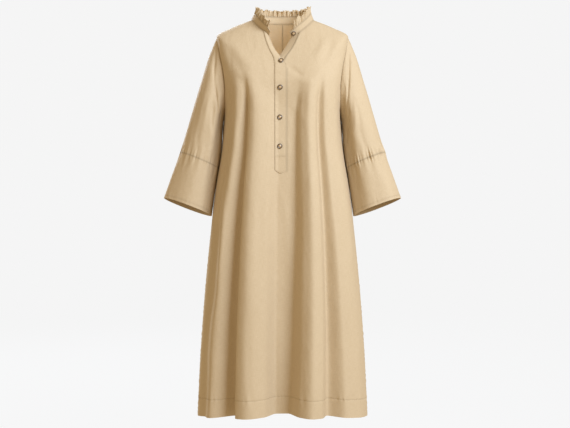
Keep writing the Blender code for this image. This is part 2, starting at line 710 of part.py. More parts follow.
def make_band(cloth):
    """The stand of the collar, a doubled strip round the neck."""
    angles = collar_angles(BAND_COLUMNS, 0.0)[None, :]
    heights = np.linspace(2 * SEAM_GAP, BAND_HEIGHT, BAND_ROWS)[:, None]
    angles, heights = np.broadcast_arrays(angles, heights)
    outer = collar(angles, heights)
    inner = outer - collar_normal(angles, heights) * BAND_CLOTH
    return make_wall("collar_band", outer, inner, cloth)


def make_frill(cloth):
    """The narrow gathered frill along the top of the stand, waving from side to side."""
    angles = collar_angles(FRILL_COLUMNS, FRILL_SHORT)
    share = np.array(FRILL_ROWS)[:, None]
    phase = np.linspace(0.0, 2 * math.pi * FRILL_WAVES, len(angles))[None, :]
    size, pace = FRILL_UNEVEN
    swing = FRILL_SWING * (1 - size + size * np.sin(phase * pace + 1.0))
    swing = swing * (FRILL_BASE_SWING + (1 - FRILL_BASE_SWING) * share)
    size, pace = FRILL_SWAY
    wave = swing * np.sin(phase + size * np.sin(phase * pace))
    size, pace = FRILL_CREST
    crest = 1 - size * np.sin(phase * pace + 0.4) * share
    heights = BAND_HEIGHT + 2 * SEAM_GAP + FRILL_HEIGHT * share * crest
    angles = np.broadcast_to(angles[None, :], heights.shape)
    normal = collar_normal(angles, np.full(heights.shape, BAND_HEIGHT))
    middle = collar(angles, heights) + normal * (wave - BAND_CLOTH / 2)[..., None]
    along = np.gradient(middle, axis=1)
    up = np.gradient(middle, axis=0)
    face = np.cross(along, up)
    face /= np.linalg.norm(face, axis=-1, keepdims=True)
    return make_wall("collar_frill", middle + face * FRILL_CLOTH / 2, middle - face * FRILL_CLOTH / 2, cloth)


def make_button(name, centre, way, horn):
    """A round shank button: a rim round a low dome, turned about the direction it faces."""
    profile = [(0.0, 0.0), *BUTTON_OUTLINE, (0.0, 1.0)]
    shape = bmesh.new()
    points = [shape.verts.new((r * BUTTON_RADIUS, 0.0, h * BUTTON_HEIGHT)) for r, h in profile]
    edges = [shape.edges.new(pair) for pair in zip(points[:-1], points[1:])]
    bmesh.ops.spin(
        shape,
        geom=points + edges,
        cent=(0.0, 0.0, 0.0),
        axis=(0.0, 0.0, 1.0),
        angle=2 * math.pi,
        steps=BUTTON_SIDES,
        use_merge=True,
    )
    bmesh.ops.remove_doubles(shape, verts=shape.verts, dist=1e-6)
    bmesh.ops.recalc_face_normals(shape, faces=shape.faces)
    if shape.calc_volume(signed=True) < 0:
        bmesh.ops.reverse_faces(shape, faces=shape.faces)
    mesh = bpy.data.meshes.new(name)
    shape.to_mesh(mesh)
    shape.free()
    mesh.shade_smooth()
    mesh.materials.append(horn)
    made = bpy.data.objects.new(name, mesh)
    bpy.context.scene.collection.objects.link(made)
    pole = np.array([0.0, 0.0, 1.0])
    axis = np.cross(pole, way)
    turn = math.acos(float(np.clip(pole @ way, -1.0, 1.0)))
    made.rotation_mode = "AXIS_ANGLE"
    made.rotation_axis_angle = (turn, *axis)
    made.location = centre
    return made


def make_buttons(horn):
    """Four buttons down the placket, and one on the open end of the collar's stand."""
    for i, (x, z) in enumerate(PLACKET_BUTTONS):
        along = along_of(z)
        angle = angle_of(np.array(x), along)
        way = body_normal(angle, np.array(along))
        rise = SEAM_GAP + DOUBLE_CLOTH + TOP_EDGE_RISE + BUTTON_GAP
        make_button(f"button_{i + 1}", body(angle, np.array(along)) + way * rise, way, horn)
    angle, height = np.array(BAND_RIGHT_END - 360.0 + COLLAR_BUTTON_IN), np.array(BAND_HEIGHT / 2)
    way = collar_normal(angle, height)
    make_button("collar_button", collar(angle, height) + way * BUTTON_GAP, way, horn)


def main():
    for old in list(bpy.data.objects):
        bpy.data.objects.remove(old)
    cloth = make_material("khaki_cotton", (0.56, 0.44, 0.29), 0.72)
    horn = make_material("brown_horn", (0.30, 0.20, 0.11), 0.25)
    make_front(cloth)
    make_back("back_left", 1.0, cloth)
    make_back("back_right", -1.0, cloth)
    make_sleeve("sleeve_left", 1.0, cloth)
    make_sleeve("sleeve_right", -1.0, cloth)
    make_cuff("cuff_left", 1.0, cloth)
    make_cuff("cuff_right", -1.0, cloth)
    make_top_placket(cloth)
    make_under_placket(cloth)
    make_band(cloth)
    make_frill(cloth)
    make_buttons(horn)


main()
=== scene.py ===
"""The looks of the midi shirt dress: plain khaki cotton, filled out as if worn, with nobody in it.

Metres, in the frame's own axes: +Z up, the front faces -Y, +X is the wearer's left, and the origin is
the middle of the neck. Each cloth piece is a fine closed shell on the form of its solid, with creases.
"""

import math

import bpy
import numpy as np
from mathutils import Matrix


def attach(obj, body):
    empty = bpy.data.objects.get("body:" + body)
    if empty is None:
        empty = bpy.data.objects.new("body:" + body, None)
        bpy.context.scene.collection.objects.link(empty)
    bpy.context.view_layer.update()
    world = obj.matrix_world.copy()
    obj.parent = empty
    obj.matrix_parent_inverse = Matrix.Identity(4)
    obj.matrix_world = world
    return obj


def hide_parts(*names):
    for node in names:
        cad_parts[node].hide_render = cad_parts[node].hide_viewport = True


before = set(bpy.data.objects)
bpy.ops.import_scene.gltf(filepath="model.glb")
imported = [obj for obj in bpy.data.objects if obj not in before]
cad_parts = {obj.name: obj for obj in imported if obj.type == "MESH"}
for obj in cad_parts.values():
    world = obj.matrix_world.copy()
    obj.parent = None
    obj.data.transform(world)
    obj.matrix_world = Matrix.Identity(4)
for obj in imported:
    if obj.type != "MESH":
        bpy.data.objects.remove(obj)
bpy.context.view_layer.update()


# Camera
# The photograph looks level at the front from about three metres, a little to the wearer's left of the
# dress's middle, with the whole dress in view.

CAMERA_AT = (0.0075, -3.2, -0.5745)
CAMERA_LENS = 67.4


def place_object(name, data):
    """An object that holds this data, linked into the scene."""
    made = bpy.data.objects.new(name, data)
    bpy.context.scene.collection.objects.link(made)
    return made


camera_data = bpy.data.cameras.new("camera")
camera_data.lens = CAMERA_LENS
camera = place_object("camera", camera_data)
camera.location = CAMERA_AT
camera.rotation_euler = (math.pi / 2, 0.0, 0.0)
bpy.context.scene.camera = camera


# Front
# One piece of plain woven cotton, cut flared, with a slot down from the neck for the button placket. It
# hangs in deep folds from the bust, and its hem is turned up and stitched 54 mm above the edge.

CLOTH = 0.0014
DOUBLE_CLOTH = 0.0016
HEM_EXTRA = 0.0010
SEAM_GAP = 0.0003
SHOULDER_TIP = 0.115
UNDERARM = 0.330
PLACKET_OPEN_END = 0.477
PLACKET_END = 0.521
HEM_STITCH = 1.187
HEM = 1.241

# Rings of the body. side_z, front_z and back_z are a ring's heights at its side, front and back, and
# square is 2 for an oval and more for a boxier ring.
RING_COLUMNS = ("along", "side_z", "front_z", "back_z", "half_width", "front", "back", "square")
RINGS = (
    (0.000, 0.006, -0.055, 0.006, 0.094, 0.062, 0.066, 2.0),
    (0.060, -0.018, -0.100, -0.026, 0.152, 0.086, 0.083, 2.2),
    (0.115, -0.047, -0.140, -0.072, 0.197, 0.104, 0.092, 2.5),
    (0.160, -0.093, -0.166, -0.110, 0.192, 0.113, 0.097, 2.8),
    (0.220, -0.153, -0.196, -0.160, 0.182, 0.120, 0.100, 3.0),
    (0.330, -0.265, -0.265, -0.265, 0.171, 0.123, 0.098, 3.0),
    (0.425, -0.360, -0.360, -0.360, 0.177, 0.126, 0.098, 2.8),
    (0.565, -0.500, -0.500, -0.500, 0.198, 0.130, 0.104, 2.5),
    (0.715, -0.650, -0.650, -0.650, 0.217, 0.131, 0.114, 2.3),
    (0.895, -0.830, -0.828, -0.831, 0.234, 0.130, 0.127, 2.1),
    (1.065, -1.000, -0.993, -1.003, 0.246, 0.127, 0.138, 2.0),
    (1.241, -1.176, -1.158, -1.182, 0.2545, 0.124, 0.146, 2.0),
)
# The large folds: places across the front at the chest and at the hem, -1 at one side seam and 1 at the
# other, and how far the cloth stands out there.
FOLD_COLUMNS = ("chest_at", "hem_at", "chest_out", "hem_out")
FRONT_FOLDS = (
    (-1.00, -1.00, 0.000, 0.000),
    (-0.90, -0.93, -0.003, -0.006),
    (-0.75, -0.80, 0.004, 0.018),
    (-0.61, -0.575, -0.008, -0.022),
    (-0.54, -0.490, 0.003, 0.033),
    (-0.46, -0.375, 0.008, 0.045),
    (-0.25, -0.205, 0.002, 0.018),
    (-0.05, -0.080, -0.003, -0.042),
    (0.26, 0.070, -0.005, -0.044),
    (0.37, 0.190, 0.000, 0.020),
    (0.46, 0.305, 0.006, 0.044),
    (0.55, 0.420, 0.002, 0.030),
    (0.635, 0.540, -0.007, -0.020),
    (0.70, 0.715, 0.001, 0.015),
    (0.85, 0.860, 0.003, 0.012),
    (1.00, 1.00, 0.000, 0.000),
)
BACK_FOLDS = (
    (-1.00, -1.00, 0.000, 0.000),
    (-0.985, -0.985, 0.0064, 0.002),
    (-0.80, -0.86, 0.003, 0.014),
    (-0.62, -0.66, -0.007, -0.026),
    (-0.42, -0.43, 0.005, 0.030),
    (-0.20, -0.19, -0.004, -0.024),
    (0.03, 0.02, 0.004, 0.026),
    (0.24, 0.26, -0.005, -0.030),
    (0.46, 0.49, 0.004, 0.028),
    (0.66, 0.71, -0.006, -0.022),
    (0.84, 0.88, 0.003, 0.012),
    (0.985, 0.985, 0.0064, 0.002),
    (1.00, 1.00, 0.000, 0.000),
)
FOLD_START = 0.170
FOLD_FULL = 0.330
FOLD_GROWTH = 0.8
BUST_X = 0.100
BUST_Z = -0.200
BUST_OUT = 0.007
BUST_REACH = (0.050, 0.070)
ARMHOLE_FRONT = 25.0
ARMHOLE_BACK = 27.0
ARMHOLE_ROUND = 0.8
SHOULDER_SEAM_FORWARD = 16.0
DRAW_BACK_FROM = 0.5
DRAW_BACK = 1.3


def column(table, names, name):
    """One named column of a table."""
    return np.array([row[names.index(name)] for row in table])


def smooth_curve(knots, values, at, level_ends=False):
    """A smooth curve through a table's rows, turning only at its crests and troughs.

    Between two rows it is a cubic whose slopes are the harmonic mean of the two sides' slopes, or level
    at a crest or trough. knots and values may differ from point to point of `at`.
    """
    at = np.asarray(at, float)
    if np.ndim(knots) == 1:
        knots = np.asarray(knots, float).reshape((-1,) + (1,) * at.ndim)
    if np.ndim(values) == 1:
        values = np.asarray(values, float).reshape((-1,) + (1,) * at.ndim)
    knots, values = np.broadcast_arrays(knots, values)
    step = np.diff(knots, axis=0)
    slope = np.diff(values, axis=0) / step
    before, after = slope[:-1], slope[1:]
    same_way = before * after > 0
    total = np.where(same_way, before + after, 1.0)
    inner = np.where(same_way, 2 * before * after / total, 0.0)
    ends = 0.0 if level_ends else 1.0
    tangent = np.concatenate([ends * slope[:1], inner, ends * slope[-1:]])
    result = np.zeros(np.broadcast_shapes(knots.shape[1:], at.shape))
    last = len(slope) - 1
    for i in range(len(slope)):
        low = at >= knots[i] if i else np.ones(result.shape, bool)
        high = at < knots[i + 1] if i < last else np.ones(result.shape, bool)
        t = np.clip((at - knots[i]) / step[i], 0.0, 1.0)
        cubic = (
            values[i] * (1 + 2 * t) * (1 - t) ** 2
            + values[i + 1] * t**2 * (3 - 2 * t)
            + tangent[i] * step[i] * t * (1 - t) ** 2
            - tangent[i + 1] * step[i] * t**2 * (1 - t)
        )
        result = np.where(low & high, cubic, result)
    return result


def read_table(table, names, name, at):
    """A smooth curve through one column of a table, read at places along its first column."""
    return smooth_curve(column(table, names, names[0]), column(table, names, name), at)


def ease(low, high, at):
    """0 before low, 1 past high, and a smooth step between; low may be the larger one."""
    t = np.clip((np.asarray(at, float) - low) / (high - low), 0.0, 1.0)
    return t * t * (3 - 2 * t)


def bell(distance, width):
    """1 at no distance and nothing far off: exp(-(distance / width)^2)."""
    return np.exp(-((np.asarray(distance, float) / width) ** 2))


def fold_depth(table, across, along):
    """How far the large folds stand out: a smooth curve across, its knots and depths growing down."""
    t = np.clip((along - FOLD_START) / (HEM - FOLD_START), 0.0, 1.0)
    places = [column(table, FOLD_COLUMNS, name) for name in ("chest_at", "hem_at")]
    depths = [column(table, FOLD_COLUMNS, name) for name in ("chest_out", "hem_out")]
    shape = (-1,) + (1,) * np.ndim(across)
    knots = places[0].reshape(shape) * (1 - t) + places[1].reshape(shape) * t
    grown = t**FOLD_GROWTH
    values = depths[0].reshape(shape) * (1 - grown) + depths[1].reshape(shape) * grown
    return smooth_curve(knots, values, across, level_ends=True) * ease(FOLD_START, FOLD_FULL, along)


def body(angle, along):
    """A point of the body before creasing, on the ring |x/width|^n + |y/depth|^n = 1.

    angle is in degrees round the body, 0 at the front middle, 90 at the wearer's left side and 180 at
    the back; along is the length from the neck seam.
    """
    angle, along = np.broadcast_arrays(np.radians(angle), np.asarray(along, float))
    ring = {name: read_table(RINGS, RING_COLUMNS, name, along) for name in RING_COLUMNS[1:]}
    power = ring["square"]
    sine, cosine = np.sin(angle), np.cos(angle)
    reach = (np.abs(sine) ** power + np.abs(cosine) ** power) ** (-1 / power)
    across, ahead = reach * sine, reach * cosine
    is_front = cosine > 0
    depth = np.where(is_front, ring["front"], ring["back"])
    middle_z = np.where(is_front, ring["front_z"], ring["back_z"])
    x = ring["half_width"] * across
    y = -depth * ahead
    z = ring["side_z"] + (middle_z - ring["side_z"]) * (1 - across**2)
    out_x = np.sign(across) * np.abs(across) ** (power - 1) / ring["half_width"]
    out_y = -np.sign(ahead) * np.abs(ahead) ** (power - 1) / depth
    length = np.hypot(out_x, out_y)
    front_fold, back_fold = (fold_depth(table, across, along) for table in (FRONT_FOLDS, BACK_FOLDS))
    fold = np.where(is_front, front_fold, back_fold)
    x = x + fold * out_x / length
    y = y + fold * out_y / length
    near = ((np.abs(x) - BUST_X) / BUST_REACH[0]) ** 2 + ((z - BUST_Z) / BUST_REACH[1]) ** 2
    y = y - np.where(is_front, BUST_OUT * np.exp(-near), 0.0)
    return np.stack([x, y, z], axis=-1)


def outward(surface, u, v, steps, flip=1.0):
    """A surface's unit normal at (u, v), from the cross product of its two slopes."""
    u_step, v_step = steps
    along_u = surface(u + u_step, v) - surface(u - u_step, v)
    along_v = surface(u, v + v_step) - surface(u, v - v_step)
    normal = np.cross(along_u, along_v) * flip
    return normal / np.linalg.norm(normal, axis=-1, keepdims=True)


BODY_STEPS = (0.2, 0.001)
EDGE_MARGIN = 0.002


def body_normal(angle, along):
    """The body's outward unit normal before creasing."""
    inside = np.clip(along, EDGE_MARGIN, HEM - EDGE_MARGIN)
    return outward(body, angle, inside, BODY_STEPS, flip=-1.0)


def side_edge(along, back=False):
    """The angle at which a panel ends, row by row: shoulder seam, then armhole, then side seam."""
    along = np.asarray(along, float)
    shoulder = 90.0 - SHOULDER_SEAM_FORWARD * ease(0.0, SHOULDER_TIP, SHOULDER_TIP - along)
    sweep = np.sin(np.radians(arm_turn(along))) ** ARMHOLE_ROUND
    armhole = 90.0 + ARMHOLE_BACK * sweep if back else 90.0 - ARMHOLE_FRONT * sweep
    return np.where(along < SHOULDER_TIP, shoulder, armhole)


def arm_turn(along):
    """0 at the shoulder tip and 180 at the underarm, in degrees: a row's place on the armhole."""
    share = np.clip((along - SHOULDER_TIP) / (UNDERARM - SHOULDER_TIP), 0.0, 1.0)
    return np.degrees(np.arccos(1 - 2 * share))


# Creases of a sheet: a line from one point to another across and down it, how far it bows sideways, its
# width, and how far the cloth stands out along it, less than nothing for a trough. All in metres.
CREASE_COLUMNS = ("from_x", "from_z", "to_x", "to_z", "bow", "width", "out")
FRONT_CREASES = (
    (-0.168, -0.070, -0.098, -0.178, -0.006, 0.0150, -0.0022),
    (-0.150, -0.060, -0.085, -0.160, -0.005, 0.0150, 0.0012),
    (-0.171, -0.110, -0.118, -0.205, -0.010, 0.0160, -0.0012),
    (-0.160, -0.160, -0.120, -0.250, -0.012, 0.0150, -0.0010),
    (-0.112, -0.195, -0.128, -0.330, 0.004, 0.0090, 0.0030),
    (-0.097, -0.205, -0.120, -0.560, 0.000, 0.0100, 0.0024),
    (0.046, -0.200, 0.050, -0.560, 0.002, 0.0110, 0.0022),
    (-0.060, -0.170, -0.095, -0.260, 0.006, 0.0120, -0.0006),
    (0.150, -0.055, 0.105, -0.150, 0.006, 0.0120, -0.0030),
    (0.168, -0.080, 0.112, -0.195, 0.008, 0.0120, -0.0026),
    (0.130, -0.050, 0.090, -0.120, 0.004, 0.0110, 0.0018),
    (0.012, -0.145, 0.062, -0.182, 0.003, 0.0090, -0.0024),
    (0.040, -0.180, 0.100, -0.196, -0.004, 0.0110, 0.0016),
    (0.100, -0.190, 0.094, -0.330, 0.002, 0.0100, 0.0018),
    (0.122, -0.190, 0.146, -0.320, -0.004, 0.0100, 0.0014),
    (0.111, -0.200, 0.116, -0.340, 0.000, 0.0110, -0.0016),
    (0.020, -0.240, 0.070, -0.330, 0.006, 0.0120, 0.0010),
    (0.030, -0.330, 0.058, -0.480, 0.004, 0.0130, -0.0006),
    (-0.020, -0.470, -0.030, -0.640, 0.003, 0.0110, -0.0014),
    (0.010, -0.520, 0.016, -0.760, 0.002, 0.0120, 0.0016),
    (-0.064, -0.500, -0.072, -0.820, 0.002, 0.0110, -0.0014),
    (-0.168, -0.470, -0.192, -0.800, 0.003, 0.0085, 0.0035),
    (-0.182, -0.560, -0.222, -0.960, 0.004, 0.0090, -0.0032),
    (-0.204, -0.800, -0.226, -1.080, 0.003, 0.0090, 0.0026),
    (0.140, -0.420, 0.156, -0.640, 0.003, 0.0110, -0.0022),
    (0.178, -0.460, 0.205, -0.760, 0.004, 0.0110, 0.0024),
    (0.198, -0.700, 0.222, -1.020, 0.003, 0.0110, -0.0020),
    (0.060, -0.620, 0.050, -0.900, 0.003, 0.0100, 0.0014),
    (-0.006, -0.860, -0.012, -1.090, 0.002, 0.0120, 0.0016),
    (0.100, -0.900, 0.106, -1.110, 0.002, 0.0100, -0.0014),
    (-0.100, -0.850, -0.096, -1.100, 0.002, 0.0100, -0.0014),
)
# The shares of a crease's length over which it rises and fades
CREASE_RISE = (-0.05, 0.35)
CREASE_FADE = (1.05, 0.60)


def creases(table, across, height):
    """Soft ridges and troughs of a sheet.

    Each row moves the cloth by out * exp(-(distance to its line / width)^2), where the line is bent
    sideways by bow * sin, and eases to nothing at both ends.
    """
    total = np.zeros(np.broadcast_shapes(np.shape(across), np.shape(height)))
    for row in table:
        crease = dict(zip(CREASE_COLUMNS, row))
        run_x, run_z = crease["to_x"] - crease["from_x"], crease["to_z"] - crease["from_z"]
        length = math.hypot(run_x, run_z)
        from_x, from_z = across - crease["from_x"], height - crease["from_z"]
        share = (from_x * run_x + from_z * run_z) / length**2
        sideways = (from_z * run_x - from_x * run_z) / length
        sideways = sideways - crease["bow"] * np.sin(math.pi * np.clip(share, 0.0, 1.0))
        window = ease(*CREASE_RISE, share) * ease(*CREASE_FADE, share)
        total += crease["out"] * window * bell(sideways, crease["width"])
    return total


PUCKER_SWAYS = ((1.3, 0.31), (0.8, 0.13))
PUCKER_MEAN = 0.55
PUCKER_SWELL = 0.45
PUCKER_PACE = 0.23
PUCKER_SHIFT = 3


def puckers(distance, place, reach, spacing, height, seed):
    """Small uneven gathers that stand across a stitched seam.

    height * exp(-(distance / reach)^2) * sin(phase), where the phase turns once every spacing along the
    seam and is swayed by slower sines, and the height swells and fades.
    """
    phase = 2 * math.pi * np.asarray(place) / spacing
    swayed = phase
    for size, pace in PUCKER_SWAYS:
        swayed = swayed + size * np.sin(pace * phase + seed)
    strength = PUCKER_MEAN + PUCKER_SWELL * np.sin(PUCKER_PACE * phase + PUCKER_SHIFT * seed)
    return height * strength * bell(distance, reach) * np.sin(swayed)


# Puckers of a seam: how far they reach from it, their spacing along it, their height and their seed
HEM_PUCKERS = (0.014, 0.013, 0.0011, 1.0)
HEM_GROOVE = 0.0006
HEM_GROOVE_WIDTH = 0.0018
BODY_RADIUS = 0.21


def hem_relief(angle, along):
    """The hem's stitched line: a fine groove, and puckers on both sides of it."""
    from_stitch = along - HEM_STITCH
    groove = HEM_GROOVE * bell(from_stitch, HEM_GROOVE_WIDTH)
    return puckers(from_stitch, np.radians(angle) * BODY_RADIUS, *HEM_PUCKERS) - groove


def edge_distance(angle, along, back=False):
    """About how far a point is from the panel's edge at the side, in metres."""
    return np.abs(side_edge(along, back) - np.abs(angle)) * math.pi / 180.0 * BODY_RADIUS


ARMHOLE_GROOVE = 0.0014
ARMHOLE_GROOVE_WIDTH = 0.0045
ARMHOLE_FADE = 0.012


def armhole_sink(along, from_side):
    """How far a panel dips towards the sleeve's seam, from the shoulder tip to the underarm."""
    shoulder_end, underarm_end = SHOULDER_TIP - ARMHOLE_FADE, UNDERARM + ARMHOLE_FADE
    beside = ease(shoulder_end, SHOULDER_TIP, along) * ease(underarm_end, UNDERARM, along)
    return ARMHOLE_GROOVE * beside * bell(from_side, ARMHOLE_GROOVE_WIDTH)


# The swell beside the sleeves: where it rises and fades down the body, how far it stands out at the seam
# and behind it, how wide it is there, and where under the armhole it is most.
SWELL_RISE = (0.262, 0.296)
SWELL_FADE = (0.700, 0.600)
SIDE_SWELL = 0.0016
SIDE_SWELL_WIDTH = 0.030
BACK_SWELL = 0.0030
BACK_SWELL_IN = 0.026
BACK_SWELL_WIDTH = 0.016
SWELL_MOST = 0.385
SWELL_MOST_WIDTH = 0.024
SWELL_MORE = 0.65


def side_swell(along, from_side, at_back):
    """The cloth swells a little at the side seams beside the sleeves, most of all behind the seam."""
    beside_sleeve = ease(*SWELL_RISE, along) * ease(*SWELL_FADE, along)
    swell = SIDE_SWELL * bell(from_side, SIDE_SWELL_WIDTH)
    swell = swell + at_back * BACK_SWELL * bell(from_side - BACK_SWELL_IN, BACK_SWELL_WIDTH)
    return beside_sleeve * swell * (1 + SWELL_MORE * bell(along - SWELL_MOST, SWELL_MOST_WIDTH))


SIDE_PUCKERS = (0.009, 0.016, 0.0012)
SIDE_PUCKER_IN = 0.008
SIDE_PUCKER_RISE = (0.55, 0.95)
NECK_FADE = 0.020
SIDE_FADE = 0.015
SEAM_FADE = 0.006


def side_relief(along, from_side, at_back, seed):
    """What the side's seams do to a panel: puckers low down, the dip at the armhole, and the swell."""
    side = puckers(from_side - SIDE_PUCKER_IN, along, *SIDE_PUCKERS, seed)
    side = side * ease(*SIDE_PUCKER_RISE, along) * ease(0.0, SEAM_FADE, from_side)
    return side - armhole_sink(along, from_side) + side_swell(along, from_side, at_back)


def front(angle, along):
    """The creased front: the body, moved along its normal by the creases and the puckers at its seams."""
    points = body(angle, along)
    angle, along = np.broadcast_arrays(angle, along)
    from_side = edge_distance(angle, along)
    relief = creases(FRONT_CREASES, points[..., 0], points[..., 2])
    relief = relief * ease(0.0, NECK_FADE, along) * ease(0.0, SIDE_FADE, from_side)
    relief = relief + hem_relief(angle, along) * ease(0.0, SEAM_FADE, from_side)
    relief = relief + side_relief(along, from_side, 0.0, 2.0)
    return points + body_normal(angle, along) * relief[..., None]


# How many rows of points a panel has on each stretch down it, and where the rows lie by the hem's stitches
SHOULDER_ROWS = 22
ARMHOLE_ROWS = 51
BODICE_ROWS = 28
STRIP_END_ROWS = 9
SKIRT_ROWS = 84
HEM_ROWS = 7
STITCH_ROWS = (-0.004, -0.0024, -0.0012, 0.0, 0.0012, 0.0024, 0.004)
SKIRT_STOP = 0.007
HEM_START = 0.009


def body_rows():
    """The lengths along the body of a panel's rows of points, closest where the hem is stitched."""
    shoulder = np.linspace(0.0, SHOULDER_TIP, SHOULDER_ROWS)[:-1]
    turns = np.radians(np.linspace(0.0, 180.0, ARMHOLE_ROWS))
    armhole = SHOULDER_TIP + (UNDERARM - SHOULDER_TIP) * (1 - np.cos(turns)) / 2
    bodice = np.linspace(UNDERARM, PLACKET_OPEN_END, BODICE_ROWS)[1:]
    strip_end = np.linspace(PLACKET_OPEN_END, PLACKET_END, STRIP_END_ROWS)[1:]
    skirt = np.linspace(PLACKET_END, HEM_STITCH - SKIRT_STOP, SKIRT_ROWS)[1:]
    stitch = HEM_STITCH + np.array(STITCH_ROWS)
    hem = np.linspace(HEM_STITCH + HEM_START, HEM, HEM_ROWS)
    return np.concatenate([shoulder, armhole, bodice, strip_end, skirt, stitch, hem])


def to_side(start, edge, pieces):
    """Columns of angles from start to the panel's edge; the outer half is drawn back to the armhole."""
    share = np.linspace(0.0, 1.0, pieces + 1)[None, :]
    side = np.copysign(90.0, edge)
    drawn = np.clip((share - DRAW_BACK_FROM) / (1 - DRAW_BACK_FROM), 0.0, 1.0) ** DRAW_BACK
    return start + (side - start) * share + (edge - side) * drawn


# The V above the first button: the slot's two sides, and each strip's free edge and how far it rolls in.
PLACKET_LAP = 0.003
V_COLUMNS = ("front_z", "left_seam", "left_edge", "left_sunk", "right_seam", "right_edge", "right_sunk")
V_OPENING = (
    (-0.0495, -0.0585, -0.0400, 0.022, 0.0540, 0.0251, 0.012),
    (-0.0615, -0.0540, -0.0330, 0.022, 0.0458, 0.0180, 0.012),
    (-0.0788, -0.0479, -0.0250, 0.019, 0.0350, 0.0078, 0.012),
    (-0.0948, -0.0402, -0.0175, 0.013, 0.0244, -0.0016, 0.011),
    (-0.1060, -0.0342, -0.0120, 0.006, 0.0160, -0.0082, 0.010),
    (-0.1147, -0.0288, -0.0064, 0.002, 0.0092, -0.0135, 0.007),
    (-0.1300, -0.0240, 0.0050, 0.000, 0.0046, -0.0222, 0.001),
    (-0.1440, -0.0229, 0.0118, 0.000, 0.0046, -0.0274, 0.000),
    (-0.1600, -0.0229, 0.0118, 0.000, 0.0046, -0.0274, 0.000),
)


def v_opening(name, along):
    """One column of the V's table, read at the height that the front middle has on this ring."""
    height = read_table(RINGS, RING_COLUMNS, "front_z", along)
    rows = V_OPENING[::-1]
    return read_table(rows, V_COLUMNS, name, np.clip(height, rows[0][0], rows[-1][0]))


def angle_of(x, along):
    """The angle of the front point whose sideways place on its ring is x."""
    width, power = (read_table(RINGS, RING_COLUMNS, name, along) for name in ("half_width", "square"))
    share = np.clip(np.abs(x) / width, 0.0, 0.999)
    return np.sign(x) * np.degrees(np.arctan(share / (1 - share**power) ** (1 / power)))


def grid_normals(points, facing, closed=False):
    """Unit normals of a grid of points, from the cross product of its slopes down and across."""
    wide = np.concatenate([points[:, -1:], points, points[:, :1]], axis=1) if closed else points
    across = np.gradient(wide, axis=1)
    across = across[:, 1:-1] if closed else across
    normal = np.cross(np.gradient(points, axis=0), across) * facing
    return normal / np.linalg.norm(normal, axis=-1, keepdims=True)


SHARP_ANGLE = math.radians(50)


def make_mesh(name, points, faces, places=None, shade=None):
    """An object from arrays of points and faces, with a UV map in metres of flat cloth.

    shade is how far painted shade darkens each point's colour, 0 on open cloth and up to 1 in a seam.
    """
    mesh = bpy.data.meshes.new(name)
    mesh.from_pydata(points.tolist(), [], faces.tolist())
    if places is not None:
        mesh.uv_layers.new(name="cloth").data.foreach_set("uv", places.reshape(-1).astype(np.float32))
    # Painted shade: a point attribute that darkens the colour along seams and stitch lines
    if shade is not None:
        tones = mesh.attributes.new("painted_seam_shade", "FLOAT", "POINT")
        tones.data.foreach_set("value", shade.astype(np.float32))
    mesh.shade_smooth()
    mesh.set_sharp_from_angle(angle=SHARP_ANGLE)
    return place_object(name, mesh)


def make_shell(name, outer, inner, flat, shade, keep=None):
    """A closed thin wall: a grid of outer points, the grid of inner ones, and a rim round every edge.

    keep is False on the squares of a hole. flat holds each point's place on the flat cloth, with one
    more column than the grid where the sheet closes into a tube. shade is each point's seam shade.
    """
    rows, columns = outer.shape[:2]
    if keep is None:
        keep = np.ones((rows - 1, flat.shape[1] - 1), bool)
    row, col = np.nonzero(keep)
    corners = ((0, 0), (0, 1), (1, 1), (1, 0))
    squares = [(row + down) * columns + (col + right) % columns for down, right in corners]
    squares = np.stack(squares, axis=1)
    places = np.stack([flat[row + down, col + right] for down, right in corners], axis=1)
    edges = np.concatenate([squares[:, [i, (i + 1) % 4]] for i in range(4)])
    edge_places = np.concatenate([places[:, [i, (i + 1) % 4]] for i in range(4)])
    _, index, uses = np.unique(np.sort(edges, axis=1), axis=0, return_inverse=True, return_counts=True)
    border = uses[index.reshape(-1)] == 1
    count = rows * columns
    rim = edges[border]
    rim = np.stack([rim[:, 1], rim[:, 0], rim[:, 0] + count, rim[:, 1] + count], axis=1)
    rim_places = edge_places[border][:, [1, 0, 0, 1]]
    faces = np.concatenate([squares, squares[:, ::-1] + count, rim])
    face_places = np.concatenate([places, places[:, ::-1], rim_places])
    points = np.concatenate([outer.reshape(-1, 3), inner.reshape(-1, 3)])
    shade = np.tile(np.broadcast_to(shade, (rows, columns)).reshape(-1), 2)
    used, faces = np.unique(faces, return_inverse=True)
    points, shade, faces = points[used], shade[used], faces.reshape(-1, 4)
    a, b, c, d = (points[faces[:, i]] for i in range(4))
    if np.einsum("ij,ij->", a, np.cross(b, c) + np.cross(c, d)) < 0:
        faces, face_places = faces[:, ::-1], face_places[:, ::-1]
    return make_mesh(name, points, faces, face_places, shade)


def flat_places(points, downs, middle=0, closed=False):
    """Each point's place on the flat cloth: its length along the row from the middle, and down."""
    if closed:
        points = np.concatenate([points, points[:, :1]], axis=1)
    steps = np.linalg.norm(np.diff(points, axis=1), axis=-1)
    across = np.concatenate([np.zeros((len(points), 1)), np.cumsum(steps, axis=1)], axis=1)
    across = across - across[:, middle : middle + 1]
    return np.stack([across, np.broadcast_to(-downs[:, None], across.shape)], axis=-1)


